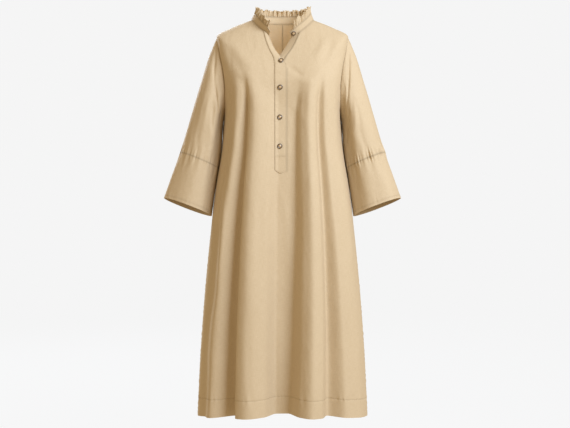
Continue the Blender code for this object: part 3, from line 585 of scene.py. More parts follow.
def make_cloth(name, node, faces, downs, shade, sheet=None, middle=0, keep=None, closed=False):
    """A cloth piece: its shell, what it replaces and rides on, and the cut that its surface unrolls to.

    faces are its outer and inner grids. Its cut is measured on the outer one, or on the sheet given.
    """
    sheet = faces[0] if sheet is None else sheet
    piece = make_shell(name, *faces, flat_places(sheet, downs, middle, closed), shade, keep)
    piece.data.materials.append(khaki_cotton)
    grid = np.concatenate([sheet, sheet[:, :1]], axis=1) if closed else sheet
    across, down = np.diff(grid, axis=1), np.diff(grid, axis=0)
    squares = np.linalg.norm(np.cross(across[:-1], down[:, :-1]), axis=-1)
    area = float(squares[keep].sum() if keep is not None else squares.sum())
    width = float(np.linalg.norm(across, axis=-1).sum(axis=1).max())
    length = float(np.linalg.norm(down, axis=-1).sum(axis=0).max())
    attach(piece, "root")
    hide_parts(node)
    area = round(min(area, width * length), 4)


def add_node(tree, kind, **inputs):
    """A node with its named inputs set or linked."""
    made = tree.nodes.new(kind)
    for name, value in inputs.items():
        socket = made.inputs[int(name[1:])] if name[0] == "i" and name[1:].isdigit() else made.inputs[name]
        if isinstance(value, bpy.types.NodeSocket):
            tree.links.new(value, socket)
        else:
            socket.default_value = value
    return made


def math_node(tree, operation, first, second=0.0):
    """One step of arithmetic in a node tree."""
    made = add_node(tree, "ShaderNodeMath", i0=first, i1=second)
    made.operation = operation
    return made.outputs[0]


def scaled(tree, place, size):
    """A place multiplied by a size for each of its three axes."""
    made = tree.nodes.new("ShaderNodeVectorMath")
    made.operation = "MULTIPLY"
    tree.links.new(place, made.inputs[0])
    made.inputs[1].default_value = size
    return made.outputs[0]


# Threads to the metre, and how often each kind of unevenness changes in a metre across and down
THREADS = 2200.0
WEFT_SLUB = (60.0, 1500.0, 1.0)
WARP_SLUB = (1500.0, 60.0, 1.0)
MOTTLE = (9.0, 5.0, 1.0)
CRUMPLE = (30.0, 16.0, 1.0)
MOTTLE_SHARE = 0.12
WEAVE_SHARE = 0.25


def noise(tree, place, scale=1.0, detail=2.0, distortion=0.0):
    """Smooth noise at a place, from 0 to 1."""
    texture = {"Vector": place, "Scale": scale, "Detail": detail, "Distortion": distortion}
    return add_node(tree, "ShaderNodeTexNoise", **texture).outputs["Fac"]


def ranged(tree, value, low, high, from_low=0.0, from_high=1.0):
    """A value carried from one range over to another."""
    ends = {"From Min": from_low, "From Max": from_high, "To Min": low, "To Max": high}
    return add_node(tree, "ShaderNodeMapRange", Value=value, **ends).outputs[0]


def mixed(tree, factor, first, second):
    """A colour between two, each a socket or three numbers."""
    made = tree.nodes.new("ShaderNodeMix")
    made.data_type = "RGBA"
    tree.links.new(factor, made.inputs["Factor"])
    for socket, colour in zip(made.inputs[6:8], (first, second)):
        if isinstance(colour, bpy.types.NodeSocket):
            tree.links.new(colour, socket)
        else:
            socket.default_value = (*colour, 1.0)
    return made.outputs[2]


def new_material(name):
    """A new material of nodes, its tree and its Principled shader."""
    material = bpy.data.materials.new(name)
    material.use_nodes = True
    return material, material.node_tree, material.node_tree.nodes["Principled BSDF"]


def attribute(tree, name):
    """The value of a mesh's point attribute."""
    made = tree.nodes.new("ShaderNodeAttribute")
    made.attribute_name = name
    return made.outputs["Fac"]


def cotton_weave_group():
    """Plain weave: height is sin(across) * sin(along) at the thread's pitch, with thick and thin threads.

    Tone is how light the dye took, from the threads' slubs and a slow mottling. Crumple is the slow
    unevenness of washed and pressed cotton.
    """
    group = bpy.data.node_groups.new("cotton_weave", "ShaderNodeTree")
    group.interface.new_socket("Place", in_out="INPUT", socket_type="NodeSocketVector")
    pitch = group.interface.new_socket("Threads", in_out="INPUT", socket_type="NodeSocketFloat")
    pitch.default_value = THREADS
    for name in ("Tone", "Height", "Crumple"):
        group.interface.new_socket(name, in_out="OUTPUT", socket_type="NodeSocketFloat")
    given = group.nodes.new("NodeGroupInput")
    result = group.nodes.new("NodeGroupOutput")
    split = add_node(group, "ShaderNodeSeparateXYZ", Vector=given.outputs["Place"])
    turns = math_node(group, "MULTIPLY", given.outputs["Threads"], math.pi)
    across = math_node(group, "SINE", math_node(group, "MULTIPLY", split.outputs[0], turns))
    along = math_node(group, "SINE", math_node(group, "MULTIPLY", split.outputs[1], turns))
    weave = math_node(group, "MULTIPLY", across, along)
    slubs = [noise(group, scaled(group, given.outputs["Place"], size)) for size in (WEFT_SLUB, WARP_SLUB)]
    slub = math_node(group, "MULTIPLY", math_node(group, "ADD", *slubs), 0.5)
    mottle = noise(group, scaled(group, given.outputs["Place"], MOTTLE), detail=3.0)
    slub_tone = math_node(group, "MULTIPLY", slub, 1 - MOTTLE_SHARE)
    tone = math_node(group, "ADD", slub_tone, math_node(group, "MULTIPLY", mottle, MOTTLE_SHARE))
    group.links.new(tone, result.inputs["Tone"])
    height = math_node(group, "ADD", math_node(group, "MULTIPLY", weave, WEAVE_SHARE), slub)
    group.links.new(height, result.inputs["Height"])
    slow = noise(group, scaled(group, given.outputs["Place"], CRUMPLE), detail=2.5, distortion=0.4)
    group.links.new(slow, result.inputs["Crumple"])
    return group


KHAKI_DEEP = (0.520, 0.404, 0.256)
KHAKI_PALE = (0.604, 0.484, 0.322)
# How dark the painted seam shade is, as a share of the deep khaki
PAINTED_SEAM_SHADE_LEVEL = 0.50
TONE_RANGE = (0.36, 0.64)
ROUGHNESS = (0.82, 0.62)
CRUMPLE_DEPTH = 0.0022
WEAVE_DEPTH = 0.0002


def cotton():
    """Plain woven cotton: two close khaki tones, painted seam shade, weave and crumple as bump, a faint
    sheen.
    """
    material, tree, shader = new_material("khaki_cotton")
    place = tree.nodes.new("ShaderNodeUVMap")
    place.uv_map = "cloth"
    weave = tree.nodes.new("ShaderNodeGroup")
    weave.node_tree = cotton_weave_group()
    tree.links.new(place.outputs["UV"], weave.inputs["Place"])
    colour = mixed(tree, ranged(tree, weave.outputs["Tone"], 0.0, 1.0, *TONE_RANGE), KHAKI_DEEP, KHAKI_PALE)
    # Painted shade: the seam attribute mixes the colour towards a darker khaki along seams and stitch lines
    painted_seam_colour = [PAINTED_SEAM_SHADE_LEVEL * part for part in KHAKI_DEEP]
    colour = mixed(tree, attribute(tree, "painted_seam_shade"), colour, painted_seam_colour)
    tree.links.new(colour, shader.inputs["Base Color"])
    tree.links.new(ranged(tree, weave.outputs["Tone"], *ROUGHNESS), shader.inputs["Roughness"])
    slow = {"Height": weave.outputs["Crumple"], "Strength": 1.0, "Distance": CRUMPLE_DEPTH}
    slow = add_node(tree, "ShaderNodeBump", **slow).outputs[0]
    fine = {"Height": weave.outputs["Height"], "Strength": 0.5, "Distance": WEAVE_DEPTH, "Normal": slow}
    tree.links.new(add_node(tree, "ShaderNodeBump", **fine).outputs[0], shader.inputs["Normal"])
    shader.inputs["Sheen Weight"].default_value = 0.22
    shader.inputs["Sheen Roughness"].default_value = 0.45
    shader.inputs["Sheen Tint"].default_value = (1.0, 0.92, 0.78, 1.0)
    shader.inputs["Specular IOR Level"].default_value = 0.3
    return material


khaki_cotton = cotton()

# Sewing thread, a shade deeper than the cloth. A stitch is a small pointed bar with four sides.
THREAD_COLOUR = (0.470, 0.345, 0.200)
STITCH_PITCH = 0.0032
STITCH_LENGTH = 0.0024
STITCH_WIDTH = 0.0006
STITCH_RISE = 0.00035


def thread_material():
    """Matt cotton thread, twisted: fine diagonal bands on Object coordinates."""
    material, tree, shader = new_material("khaki_thread")
    place = tree.nodes.new("ShaderNodeTexCoord")
    twist = add_node(tree, "ShaderNodeTexWave", Vector=place.outputs["Object"], Scale=900.0, Distortion=1.0)
    in_twist = [0.8 * part for part in THREAD_COLOUR]
    tree.links.new(mixed(tree, twist.outputs["Fac"], in_twist, THREAD_COLOUR), shader.inputs["Base Color"])
    shader.inputs["Roughness"].default_value = 0.7
    return material


khaki_thread = thread_material()


# A stitch's ten points as shares of its length, width and rise, and its faces
STITCH_SHAPE = (
    (-0.5, 0.0, 0.0), (-0.28, -0.5, 0.0), (-0.28, 0.0, 1.0), (-0.28, 0.5, 0.0), (-0.28, 0.0, -1.0),
    (0.28, -0.5, 0.0), (0.28, 0.0, 1.0), (0.28, 0.5, 0.0), (0.28, 0.0, -1.0), (0.5, 0.0, 0.0),
)
STITCH_SIDES = ((1, 2, 6, 5), (2, 3, 7, 6), (3, 4, 8, 7), (4, 1, 5, 8))
STITCH_ENDS = (
    (0, 2, 1), (0, 3, 2), (0, 4, 3), (0, 1, 4),
    (9, 5, 6), (9, 6, 7), (9, 7, 8), (9, 8, 5),
)


def stitch_points(path, normals):
    """Stitches laid end to end along a path at an even pitch, each turned to the path and the cloth."""
    steps = np.linalg.norm(np.diff(path, axis=0), axis=1)
    walked = np.concatenate([[0.0], np.cumsum(steps)])
    count = max(1, int(walked[-1] / STITCH_PITCH))
    at = (np.arange(count) + 0.5) * walked[-1] / count

    def read(values, where):
        return np.stack([np.interp(where, walked, values[:, k]) for k in range(3)], axis=1)

    middle, up = read(path, at), read(normals, at)
    ahead = read(path, at + STITCH_LENGTH / 4) - read(path, at - STITCH_LENGTH / 4)
    ahead /= np.linalg.norm(ahead, axis=1, keepdims=True)
    beside = np.cross(up, ahead)
    local = np.array(STITCH_SHAPE) * (STITCH_LENGTH, STITCH_WIDTH, STITCH_RISE)
    return (
        middle[:, None]
        + local[None, :, :1] * ahead[:, None]
        + local[None, :, 1:2] * beside[:, None]
        + local[None, :, 2:] * up[:, None]
    )


def make_stitches(name, runs):
    """One joined mesh of all the stitches of several runs of (path, normals)."""
    points = np.concatenate([stitch_points(*run) for run in runs])
    first = np.arange(len(points))[:, None, None] * len(STITCH_SHAPE)
    sides = (np.array(STITCH_SIDES)[None] + first).reshape(-1, 4).tolist()
    ends = (np.array(STITCH_ENDS)[None] + first).reshape(-1, 3).tolist()
    mesh = bpy.data.meshes.new(name)
    mesh.from_pydata(points.reshape(-1, 3).tolist(), [], sides + ends)
    mesh.shade_smooth()
    mesh.materials.append(khaki_thread)
    made = place_object(name, mesh)
    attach(made, "root")


# How deep the painted shade is in each kind of seam, from 0 to 1, and how far it reaches from it
SIDE_SHADE = 0.60
STITCH_SHADE = 0.15
NECK_SHADE = 0.45
SEAM_WIDTH = 0.0024
STITCH_WIDE = 0.0016
NECK_WIDTH = 0.004


def panel_inside(outer, rows, facing):
    """A panel's inner face: the outer one moved in by the cloth, twice as thick in the turned-up hem."""
    thick = CLOTH + np.where(rows > HEM_STITCH, HEM_EXTRA, 0.0)[:, None, None]
    return outer - grid_normals(outer, facing) * thick


def panel_shade(down, from_seam):
    """A panel's painted seam shade: at its side and middle seams, its hem's stitches and the neck seam."""
    at_seam = SIDE_SHADE * bell(from_seam, SEAM_WIDTH)
    at_stitch = STITCH_SHADE * bell(down - HEM_STITCH, STITCH_WIDE)
    return np.maximum(np.maximum(at_seam, at_stitch), NECK_SHADE * bell(down, NECK_WIDTH))


FRONT_SIDE = 100
SLOT_WIDE = 7
SLOT_MARGIN = 0.0035
# Painted shadow beside the upper strip's free edge and painted shade along the V's right seam
STRIP_SHADE = 0.32
BESIDE_STRIP = 0.0015
BESIDE_STRIP_WIDTH = 0.0028
BESIDE_STRIP_RISE = (0.125, 0.140)
V_SHADE = 0.95
BESIDE_V = 0.0012
BESIDE_V_WIDTH = 0.0026
BESIDE_V_FADE = (0.105, 0.085)
V_TURN = 0.001
ROW_MATCH = 1e-6


def make_front():
    """The front's shell, its slot left open down from the neck."""
    rows = body_rows()
    left, right = v_opening("left_seam", rows)[:, None], v_opening("right_seam", rows)[:, None]
    edge = np.maximum(v_opening("left_edge", rows)[:, None], right + PLACKET_LAP + SLOT_MARGIN)
    inside = left + PLACKET_LAP + (right - left - PLACKET_LAP) * np.linspace(0.0, 1.0, SLOT_WIDE)[None, :]
    slot = angle_of(np.concatenate([left, inside, right + PLACKET_LAP, edge], axis=1), rows[:, None])
    side = side_edge(rows)[:, None]
    one = to_side(slot[:, :1], -side, FRONT_SIDE)
    two = to_side(slot[:, -1:], side, FRONT_SIDE)
    angles = np.concatenate([one[:, :0:-1], slot, two[:, 1:]], axis=1)
    outer = front(angles, rows[:, None])
    faces = outer, panel_inside(outer, rows, 1.0)
    keep = np.ones((len(rows) - 1, angles.shape[1] - 1), bool)
    keep[rows[1:] <= PLACKET_OPEN_END + ROW_MATCH, FRONT_SIDE + 1 : FRONT_SIDE + SLOT_WIDE] = False
    # Painted shadow beside the upper strip's free edge, painted shade beside the V's right seam and at the
    # panel's seams
    down = rows[:, None]
    across = body(angles, down)[..., 0]
    past_strip = across - v_opening("left_edge", down) - BESIDE_STRIP
    beside_strip = bell(past_strip, BESIDE_STRIP_WIDTH) * ease(*BESIDE_STRIP_RISE, down)
    beside_strip = beside_strip * (down < PLACKET_END)
    past_slot = across - right
    beside_v = bell(past_slot - BESIDE_V, BESIDE_V_WIDTH) * ease(*BESIDE_V_FADE, down) * (past_slot > -V_TURN)
    shade = np.maximum(STRIP_SHADE * beside_strip, V_SHADE * beside_v)
    shade = np.maximum(shade, panel_shade(down, edge_distance(angles, down)))
    slot_middle = FRONT_SIDE + SLOT_WIDE // 2 + 1
    make_cloth("cotton_front", "front_panel", faces, rows, shade, middle=slot_middle, keep=keep)


make_front()


def run_on(surface, angle, along):
    """A path on the body for a run of stitches, with its normals."""
    angle, along = np.broadcast_arrays(np.asarray(angle, float), np.asarray(along, float))
    return surface(angle, along), body_normal(angle, along)


SIDE_TOPSTITCH = 1.3

side_run = np.linspace(UNDERARM + 0.010, HEM - EDGE_MARGIN, 500)
make_stitches("front_stitches", [
    run_on(front, np.linspace(-88.0, 88.0, 700), HEM_STITCH),
    run_on(front, side_edge(side_run) - SIDE_TOPSTITCH, side_run),
    run_on(front, SIDE_TOPSTITCH - side_edge(side_run), side_run),
])


# Back
# Two mirror pieces of the same cotton, sewn together down the middle of the back, to the front at the
# shoulders and the sides, and hemmed in one round with the front.

BACK_WIDE = 84
BACK_CREASES = (
    (-0.150, -0.060, -0.070, -0.150, -0.006, 0.0130, -0.0034),
    (-0.165, -0.110, -0.100, -0.220, -0.008, 0.0140, -0.0030),
    (-0.060, -0.050, -0.080, -0.190, 0.004, 0.0130, 0.0024),
    (0.145, -0.065, 0.080, -0.160, 0.006, 0.0130, -0.0030),
    (0.165, -0.120, 0.110, -0.230, 0.008, 0.0140, -0.0032),
    (0.050, -0.060, 0.066, -0.200, -0.004, 0.0130, 0.0022),
    (-0.030, -0.220, -0.040, -0.420, 0.003, 0.0120, -0.0026),
    (0.030, -0.250, 0.044, -0.470, 0.003, 0.0120, 0.0022),
    (-0.110, -0.300, -0.125, -0.560, 0.004, 0.0110, 0.0028),
    (0.120, -0.320, 0.138, -0.540, 0.004, 0.0110, -0.0028),
    (-0.160, -0.500, -0.190, -0.860, 0.004, 0.0100, -0.0028),
    (0.170, -0.520, 0.196, -0.840, 0.004, 0.0100, 0.0026),
    (-0.060, -0.600, -0.070, -0.920, 0.003, 0.0120, 0.0018),
    (0.070, -0.640, 0.086, -0.980, 0.003, 0.0120, -0.0018),
    (-0.200, -0.840, -0.220, -1.100, 0.003, 0.0090, 0.0024),
    (0.206, -0.860, 0.224, -1.110, 0.003, 0.0090, -0.0024),
)
MIDDLE_SEAM_GROOVE = 0.0007
MIDDLE_SEAM_WIDTH = 0.003
MIDDLE_FADE = 0.012


def back(angle, along):
    """The creased back, with a shallow groove where the two pieces are sewn down its middle."""
    points = body(angle, along)
    angle, along = np.broadcast_arrays(angle, along)
    from_side = edge_distance(angle, along, back=True)
    from_middle = np.radians(180.0 - np.abs(angle)) * BODY_RADIUS
    relief = creases(BACK_CREASES, points[..., 0], points[..., 2])
    relief = relief * ease(0.0, NECK_FADE, along) * ease(0.0, SIDE_FADE, from_side)
    relief = relief * ease(0.0, MIDDLE_FADE, from_middle)
    hem = hem_relief(angle, along) * ease(0.0, SEAM_FADE, from_side) * ease(0.0, SEAM_FADE, from_middle)
    groove = MIDDLE_SEAM_GROOVE * bell(from_middle, MIDDLE_SEAM_WIDTH) * ease(0.0, 0.01, along)
    relief = relief + hem - groove + side_relief(along, from_side, 1.0, 4.0)
    return points + body_normal(angle, along) * relief[..., None]


def make_back(name, node, side):
    """Half the back, from the middle seam to the armhole and side seam."""
    rows = body_rows()
    edge = side_edge(rows, back=True)[:, None]
    angles = side * to_side(np.full(edge.shape, 180.0), edge, BACK_WIDE)
    outer = back(angles, rows[:, None])
    from_middle = np.radians(180.0 - np.abs(angles)) * BODY_RADIUS
    from_seam = np.minimum(edge_distance(angles, rows[:, None], back=True), from_middle)
    faces = outer, panel_inside(outer, rows, -side)
    # Painted shade at the back's middle, side, armhole, hem and neck seams
    make_cloth(name, node, faces, rows, panel_shade(rows[:, None], from_seam))


make_back("cotton_back_left", "back_left", 1.0)
make_back("cotton_back_right", "back_right", -1.0)

back_run = np.linspace(92.0, 179.0, 400)
make_stitches("back_stitches", [
    run_on(back, back_run, HEM_STITCH),
    run_on(back, -back_run, HEM_STITCH),
    run_on(back, 178.4, np.linspace(0.004, HEM - EDGE_MARGIN, 600)),
])


# Sleeves
# Wide three-quarter sleeves of the same cotton, sewn into the armholes and slightly gathered where the
# cuffs are sewn on. Soft folds run down them from the shoulders.

SLEEVE_COLUMNS = ("down", "outer_x", "outer_z", "inner_x", "inner_z", "depth", "lift")
SLEEVE_RINGS = (
    (0.000, 0.2030, -0.049, 0.1730, -0.268, 0.070, 0.000),
    (0.055, 0.2225, -0.101, 0.1770, -0.292, 0.070, 0.000),
    (0.130, 0.2420, -0.173, 0.1808, -0.320, 0.068, 0.001),
    (0.205, 0.2630, -0.245, 0.1818, -0.353, 0.066, 0.002),
    (0.280, 0.2840, -0.317, 0.1855, -0.394, 0.063, 0.003),
    (0.355, 0.3055, -0.390, 0.1915, -0.437, 0.061, 0.004),
    (0.430, 0.3320, -0.461, 0.2020, -0.506, 0.060, 0.005),
    (0.497, 0.3555, -0.527, 0.2120, -0.580, 0.059, 0.008),
)
CUFF_SEAM = 0.355
CUFF_EDGE = 0.497
ARMHOLE_BLEND = 0.200
GATHERS = 16
GATHER_HEIGHT = 0.0012
GATHER_LENGTH = 0.040
SLEEVE_FOLD_COLUMNS = ("around", "spread", "top_out", "low_out")
LEFT_SLEEVE_FOLDS = (
    (140.0, 20.0, -0.010, -0.003),
    (108.0, 18.0, 0.005, 0.003),
    (62.0, 22.0, -0.004, 0.004),
    (30.0, 20.0, 0.003, -0.003),
    (250.0, 26.0, -0.006, -0.003),
    (300.0, 24.0, 0.004, 0.003),
)
RIGHT_SLEEVE_FOLDS = (
    (146.0, 16.0, -0.009, -0.002),
    (118.0, 14.0, 0.005, 0.001),
    (95.0, 15.0, -0.005, 0.004),
    (48.0, 22.0, 0.004, -0.005),
    (240.0, 26.0, -0.006, -0.003),
    (305.0, 24.0, 0.004, 0.004),
)
# Creases in metres round the sleeve from its outer side, and down it
SLEEVE_GIRTH = 0.40
HEAD_RISE = 0.0016
INNER_SWELL = 0.0026
LEFT_SLEEVE_CREASES = (
    (0.022, -0.004, 0.142, 0.102, -0.004, 0.0080, -0.0052),
    (0.120, 0.080, 0.196, 0.300, 0.006, 0.0090, -0.0042),
    (0.100, 0.110, 0.115, 0.240, 0.003, 0.0100, 0.0026),
    (0.090, 0.090, 0.085, 0.270, 0.003, 0.0090, 0.0022),
    (0.060, 0.060, 0.050, 0.300, 0.003, 0.0100, -0.0018),
    (0.135, 0.060, 0.150, 0.200, 0.003, 0.0080, 0.0020),
    (0.105, 0.220, 0.098, 0.345, 0.002, 0.0080, -0.0018),
    (0.040, 0.200, 0.070, 0.340, 0.003, 0.0080, 0.0012),
    (0.290, 0.040, 0.285, 0.260, 0.004, 0.0100, -0.0024),
    (0.330, 0.060, 0.340, 0.300, 0.003, 0.0100, 0.0020),
)
RIGHT_SLEEVE_CREASES = (
    (0.010, -0.020, 0.094, 0.078, -0.003, 0.0075, -0.0044),
    (0.086, 0.060, 0.158, 0.120, -0.003, 0.0085, -0.0040),
    (0.118, 0.100, 0.130, 0.240, 0.004, 0.0080, -0.0028),
    (0.092, 0.090, 0.098, 0.260, 0.003, 0.0085, 0.0020),
    (0.055, 0.050, 0.060, 0.310, 0.003, 0.0100, -0.0018),
    (0.140, 0.050, 0.155, 0.190, 0.003, 0.0080, 0.0022),
    (0.080, 0.230, 0.090, 0.345, 0.002, 0.0080, -0.0014),
    (0.280, 0.040, 0.290, 0.250, 0.004, 0.0100, -0.0022),
    (0.335, 0.070, 0.330, 0.290, 0.003, 0.0100, 0.0018),
)


def armhole(turn, side):
    """The armhole's edge on the body at a turn round it."""
    rows = body_rows()
    rows = rows[(rows >= SHOULDER_TIP - ROW_MATCH) & (rows <= UNDERARM + ROW_MATCH)]
    turns = arm_turn(rows)
    front_edge, back_edge = (
        body(side * side_edge(rows, at_back), rows)
        - body_normal(side * side_edge(rows, at_back), rows) * armhole_sink(rows, 0.0)[:, None]
        for at_back in (False, True)
    )
    loop = np.concatenate([front_edge, back_edge[-2::-1]])
    places = np.concatenate([turns, 360.0 - turns[-2::-1]])
    turn = np.mod(turn, 360.0)
    return np.stack([np.interp(turn, places, loop[:, k]) for k in range(3)], axis=-1)


NEAR_BODY_WIDTH = 28.0
NEAR_BODY_CALM = 0.7
# Puckers across the cuff's seam, and along its edge: reach, spacing and height
LEFT_STRENGTH = 1.8
RIGHT_STRENGTH = 0.7
REACH_ABOVE = 0.024
REACH_BELOW = 0.015
GATHER_SPACING = 0.0105
GATHER_RISE = 0.0017
EDGE_PUCKERS = (0.007, 0.012, 0.0004, 2.6)
EDGE_PUCKER_IN = 0.009
HEAD_ROLL = 0.004
HEAD_FADE = (0.040, 0.012)
INNER_WIDTH = 20.0
INNER_RISE = (0.060, 0.110)
INNER_FADE = (0.400, 0.200)


def sleeve_relief(turn, down, side):
    """The fine creases and gathers of a sleeve: uneven puckers across the cuff's seam, and creases."""
    table = LEFT_SLEEVE_CREASES if side > 0 else RIGHT_SLEEVE_CREASES
    around = np.mod(turn, 360.0) / 360.0 * SLEEVE_GIRTH
    fold = creases(table, around, down) * ease(0.0, 0.03, down) * ease(CUFF_SEAM, CUFF_SEAM - 0.02, down)
    from_inside = np.mod(turn, 360.0) - 180.0
    calm = 1 - NEAR_BODY_CALM * bell(from_inside, NEAR_BODY_WIDTH)
    rise = GATHER_RISE * (LEFT_STRENGTH if side > 0 else RIGHT_STRENGTH)
    reach = np.where(down < CUFF_SEAM, REACH_ABOVE, REACH_BELOW)
    gather = puckers(down - CUFF_SEAM, around, reach, GATHER_SPACING, rise, 1.7 + side)
    edge = puckers(down - CUFF_EDGE + EDGE_PUCKER_IN, around, *EDGE_PUCKERS)
    head = HEAD_RISE * (1 - bell(down, HEAD_ROLL)) * ease(*HEAD_FADE, down)
    inner_side = bell(from_inside, INNER_WIDTH) * ease(*INNER_RISE, down) * ease(*INNER_FADE, down)
    return (fold + gather) * calm + edge + head + INNER_SWELL * inner_side


SLEEVE_FOLD_RISE = (0.01, 0.09)


def sleeve(turn, down, side):
    """A point of a sleeve's outer surface, pulled onto the armhole at the top.

    turn is in degrees round the sleeve, 0 outside, 90 front, 180 inside, and down is the length from
    the armhole. Each ring is an oval between its outer and its inner point, swollen by the folds.
    """
    turn, down = np.broadcast_arrays(np.asarray(turn, float), np.asarray(down, float))
    folds = LEFT_SLEEVE_FOLDS if side > 0 else RIGHT_SLEEVE_FOLDS

    def oval(at, swell):
        ring = {name: read_table(SLEEVE_RINGS, SLEEVE_COLUMNS, name, at) for name in SLEEVE_COLUMNS[1:]}
        half_x = (ring["outer_x"] - ring["inner_x"]) / 2
        half_z = (ring["outer_z"] - ring["inner_z"]) / 2
        half = np.hypot(half_x, half_z)
        cosine, sine = np.cos(np.radians(turn)), np.sin(np.radians(turn))
        x = (ring["outer_x"] + ring["inner_x"]) / 2 + cosine * half_x * (1 + swell / half)
        z = (ring["outer_z"] + ring["inner_z"]) / 2 + cosine * half_z * (1 + swell / half)
        y = -sine * (ring["depth"] + swell)
        return np.stack([side * x, y, z + ring["lift"] * sine], axis=-1)

    share = np.clip(down / CUFF_EDGE, 0.0, 1.0)
    swell = np.zeros(turn.shape)
    for row in folds:
        fold = dict(zip(SLEEVE_FOLD_COLUMNS, row))
        away = np.mod(turn - fold["around"] + 180.0, 360.0) - 180.0
        height = fold["top_out"] * (1 - share) + fold["low_out"] * share
        swell = swell + height * bell(away, fold["spread"])
    swell = swell * ease(*SLEEVE_FOLD_RISE, down)
    gathers = GATHER_HEIGHT * bell(down - CUFF_SEAM, GATHER_LENGTH) * np.sin(np.radians(turn * GATHERS))
    swell = swell + gathers + sleeve_relief(turn, down, side)
    points = oval(down, swell)
    pull = np.clip(1 - down / ARMHOLE_BLEND, 0.0, 1.0)[..., None] ** 2
    return points + pull * (armhole(turn, side) - oval(np.zeros(down.shape), 0.0))


SLEEVE_ROUND = 216
SLEEVE_LONG = 80
HEAD_ROWS = (0.0, 0.0016, 0.0034, 0.0054, 0.0078)
ROW_STEP = 0.003


def tube_faces(downs, side, thick):
    """A sleeve's or cuff's outer and inner grids over these rows."""
    turns = np.arange(SLEEVE_ROUND) * 360.0 / SLEEVE_ROUND
    outer = sleeve(turns[None, :], downs[:, None], side)
    return outer, outer - grid_normals(outer, -side, closed=True) * thick


def make_sleeve(name, node, side):
    """A sleeve's shell. Its top edge meets the panels' edges round the armhole."""
    downs = np.linspace(HEAD_ROWS[-1] + ROW_STEP, CUFF_SEAM - ROW_STEP, SLEEVE_LONG)
    downs = np.concatenate([HEAD_ROWS, downs, [CUFF_SEAM]])
    outer, inner = tube_faces(downs, side, CLOTH)
    way = outer[0] - outer[0].mean(axis=0)
    way[:, 0] = 0.0
    way /= np.linalg.norm(way, axis=-1, keepdims=True)
    inner[0] = outer[0] - way * CLOTH
    # Painted shade at the armhole seam and the cuff seam
    shade = SIDE_SHADE * bell(np.minimum(downs, CUFF_SEAM - downs), SEAM_WIDTH)[:, None]
    make_cloth(name, node, (outer, inner), downs, shade, closed=True)


make_sleeve("cotton_sleeve_left", "sleeve_left", 1.0)
make_sleeve("cotton_sleeve_right", "sleeve_right", -1.0)

SLEEVE_STEPS = (1.0, 0.003)
SLEEVE_MARGIN = 0.004


def run_round(down, side):
    """A path round a sleeve or cuff for a run of stitches, with its outward unit normals."""
    turns = np.linspace(0.0, 360.0, 400)
    downs = np.full(turns.shape, down)
    inside = np.clip(downs, SLEEVE_MARGIN, CUFF_EDGE - EDGE_MARGIN)
    normal = outward(lambda u, v: sleeve(u, v, side), turns, inside, SLEEVE_STEPS, flip=side)
    return sleeve(turns, downs, side), normal


# Cuffs
# Deep straight cuffs of the same cotton, doubled, sewn to the sleeves' gathered ends and stitched again
# 9 mm above the open edge.

CUFF_LONG = 40
CUFF_STITCH = 0.009
CUFF_TOPSTITCH = 0.003


def make_cuff(name, node, side):
    """A cuff's shell, from the sleeve's end to its open edge."""
    downs = np.linspace(CUFF_SEAM, CUFF_EDGE, CUFF_LONG)
    # Painted shade at the cuff's seam and at its stitch line
    shade = SIDE_SHADE * bell(downs - CUFF_SEAM, SEAM_WIDTH)
    shade = np.maximum(shade, STITCH_SHADE * bell(downs - CUFF_EDGE + CUFF_STITCH, SEAM_WIDTH))[:, None]
    make_cloth(name, node, tube_faces(downs, side, DOUBLE_CLOTH), downs, shade, closed=True)


make_cuff("cotton_cuff_left", "cuff_left", 1.0)
make_cuff("cotton_cuff_right", "cuff_right", -1.0)
cuff_lines = (CUFF_EDGE - CUFF_STITCH, CUFF_SEAM + CUFF_TOPSTITCH)
make_stitches("cuff_stitches", [run_round(line, side) for line in cuff_lines for side in (1.0, -1.0)])


# Placket
# Two folded strips of the same cotton sewn to the sides of the front's slot. The upper one is edge
# stitched, ends in a shallow point under a cross stitch, and rolls in where the V opens.

PLACKET_POINT = 0.009
UNDER_DEPTH = 0.0019
TOP_ROLL = 2.6
UNDER_ROLL = 1.5
PLACKET_WIDE = 19
PLACKET_RISE = 0.0004
PLACKET_POINT_ROUND = 1.5
PRESSED = 0.75
PRESSED_SHARE = 0.12
STRIP_EDGE_WIDTH = 0.0018
CROSS_WIDTH = 0.0020
CROSS_STITCH = 0.004
UNDER_SHORT = 0.002
STRIP_WIDTH = 0.035
EDGE_STITCH = 0.0022 / STRIP_WIDTH


def placket_rows(end):
    """The body's rows from the neck down to the end of a strip."""
    rows = body_rows()
    rows = rows[rows <= end + ROW_MATCH]
    rows[0] = SEAM_GAP
    return rows


def top_strip(share, along):
    """The upper strip's inner face: the creased front, lifted by a seam's gap and sunk where it rolls in.

    share is 0 at the sewn edge and 1 at the free one. The strip's lower end is drawn up at both sides
    by the point, share by share.
    """
    share, along = np.broadcast_arrays(np.asarray(share, float), np.asarray(along, float))
    seam, edge = v_opening("left_seam", along), v_opening("left_edge", along)
    low = np.clip((along - PLACKET_OPEN_END) / (PLACKET_END - PLACKET_OPEN_END), 0.0, 1.0)
    lengths = along - low * PLACKET_POINT * np.abs(2 * share - 1) ** PLACKET_POINT_ROUND
    angles = angle_of(seam + (edge - seam) * share, lengths)
    normal = body_normal(angles, lengths)
    lift = SEAM_GAP + PLACKET_RISE * share - v_opening("left_sunk", along) * share**TOP_ROLL
    return front(angles, lengths) + normal * lift[..., None]


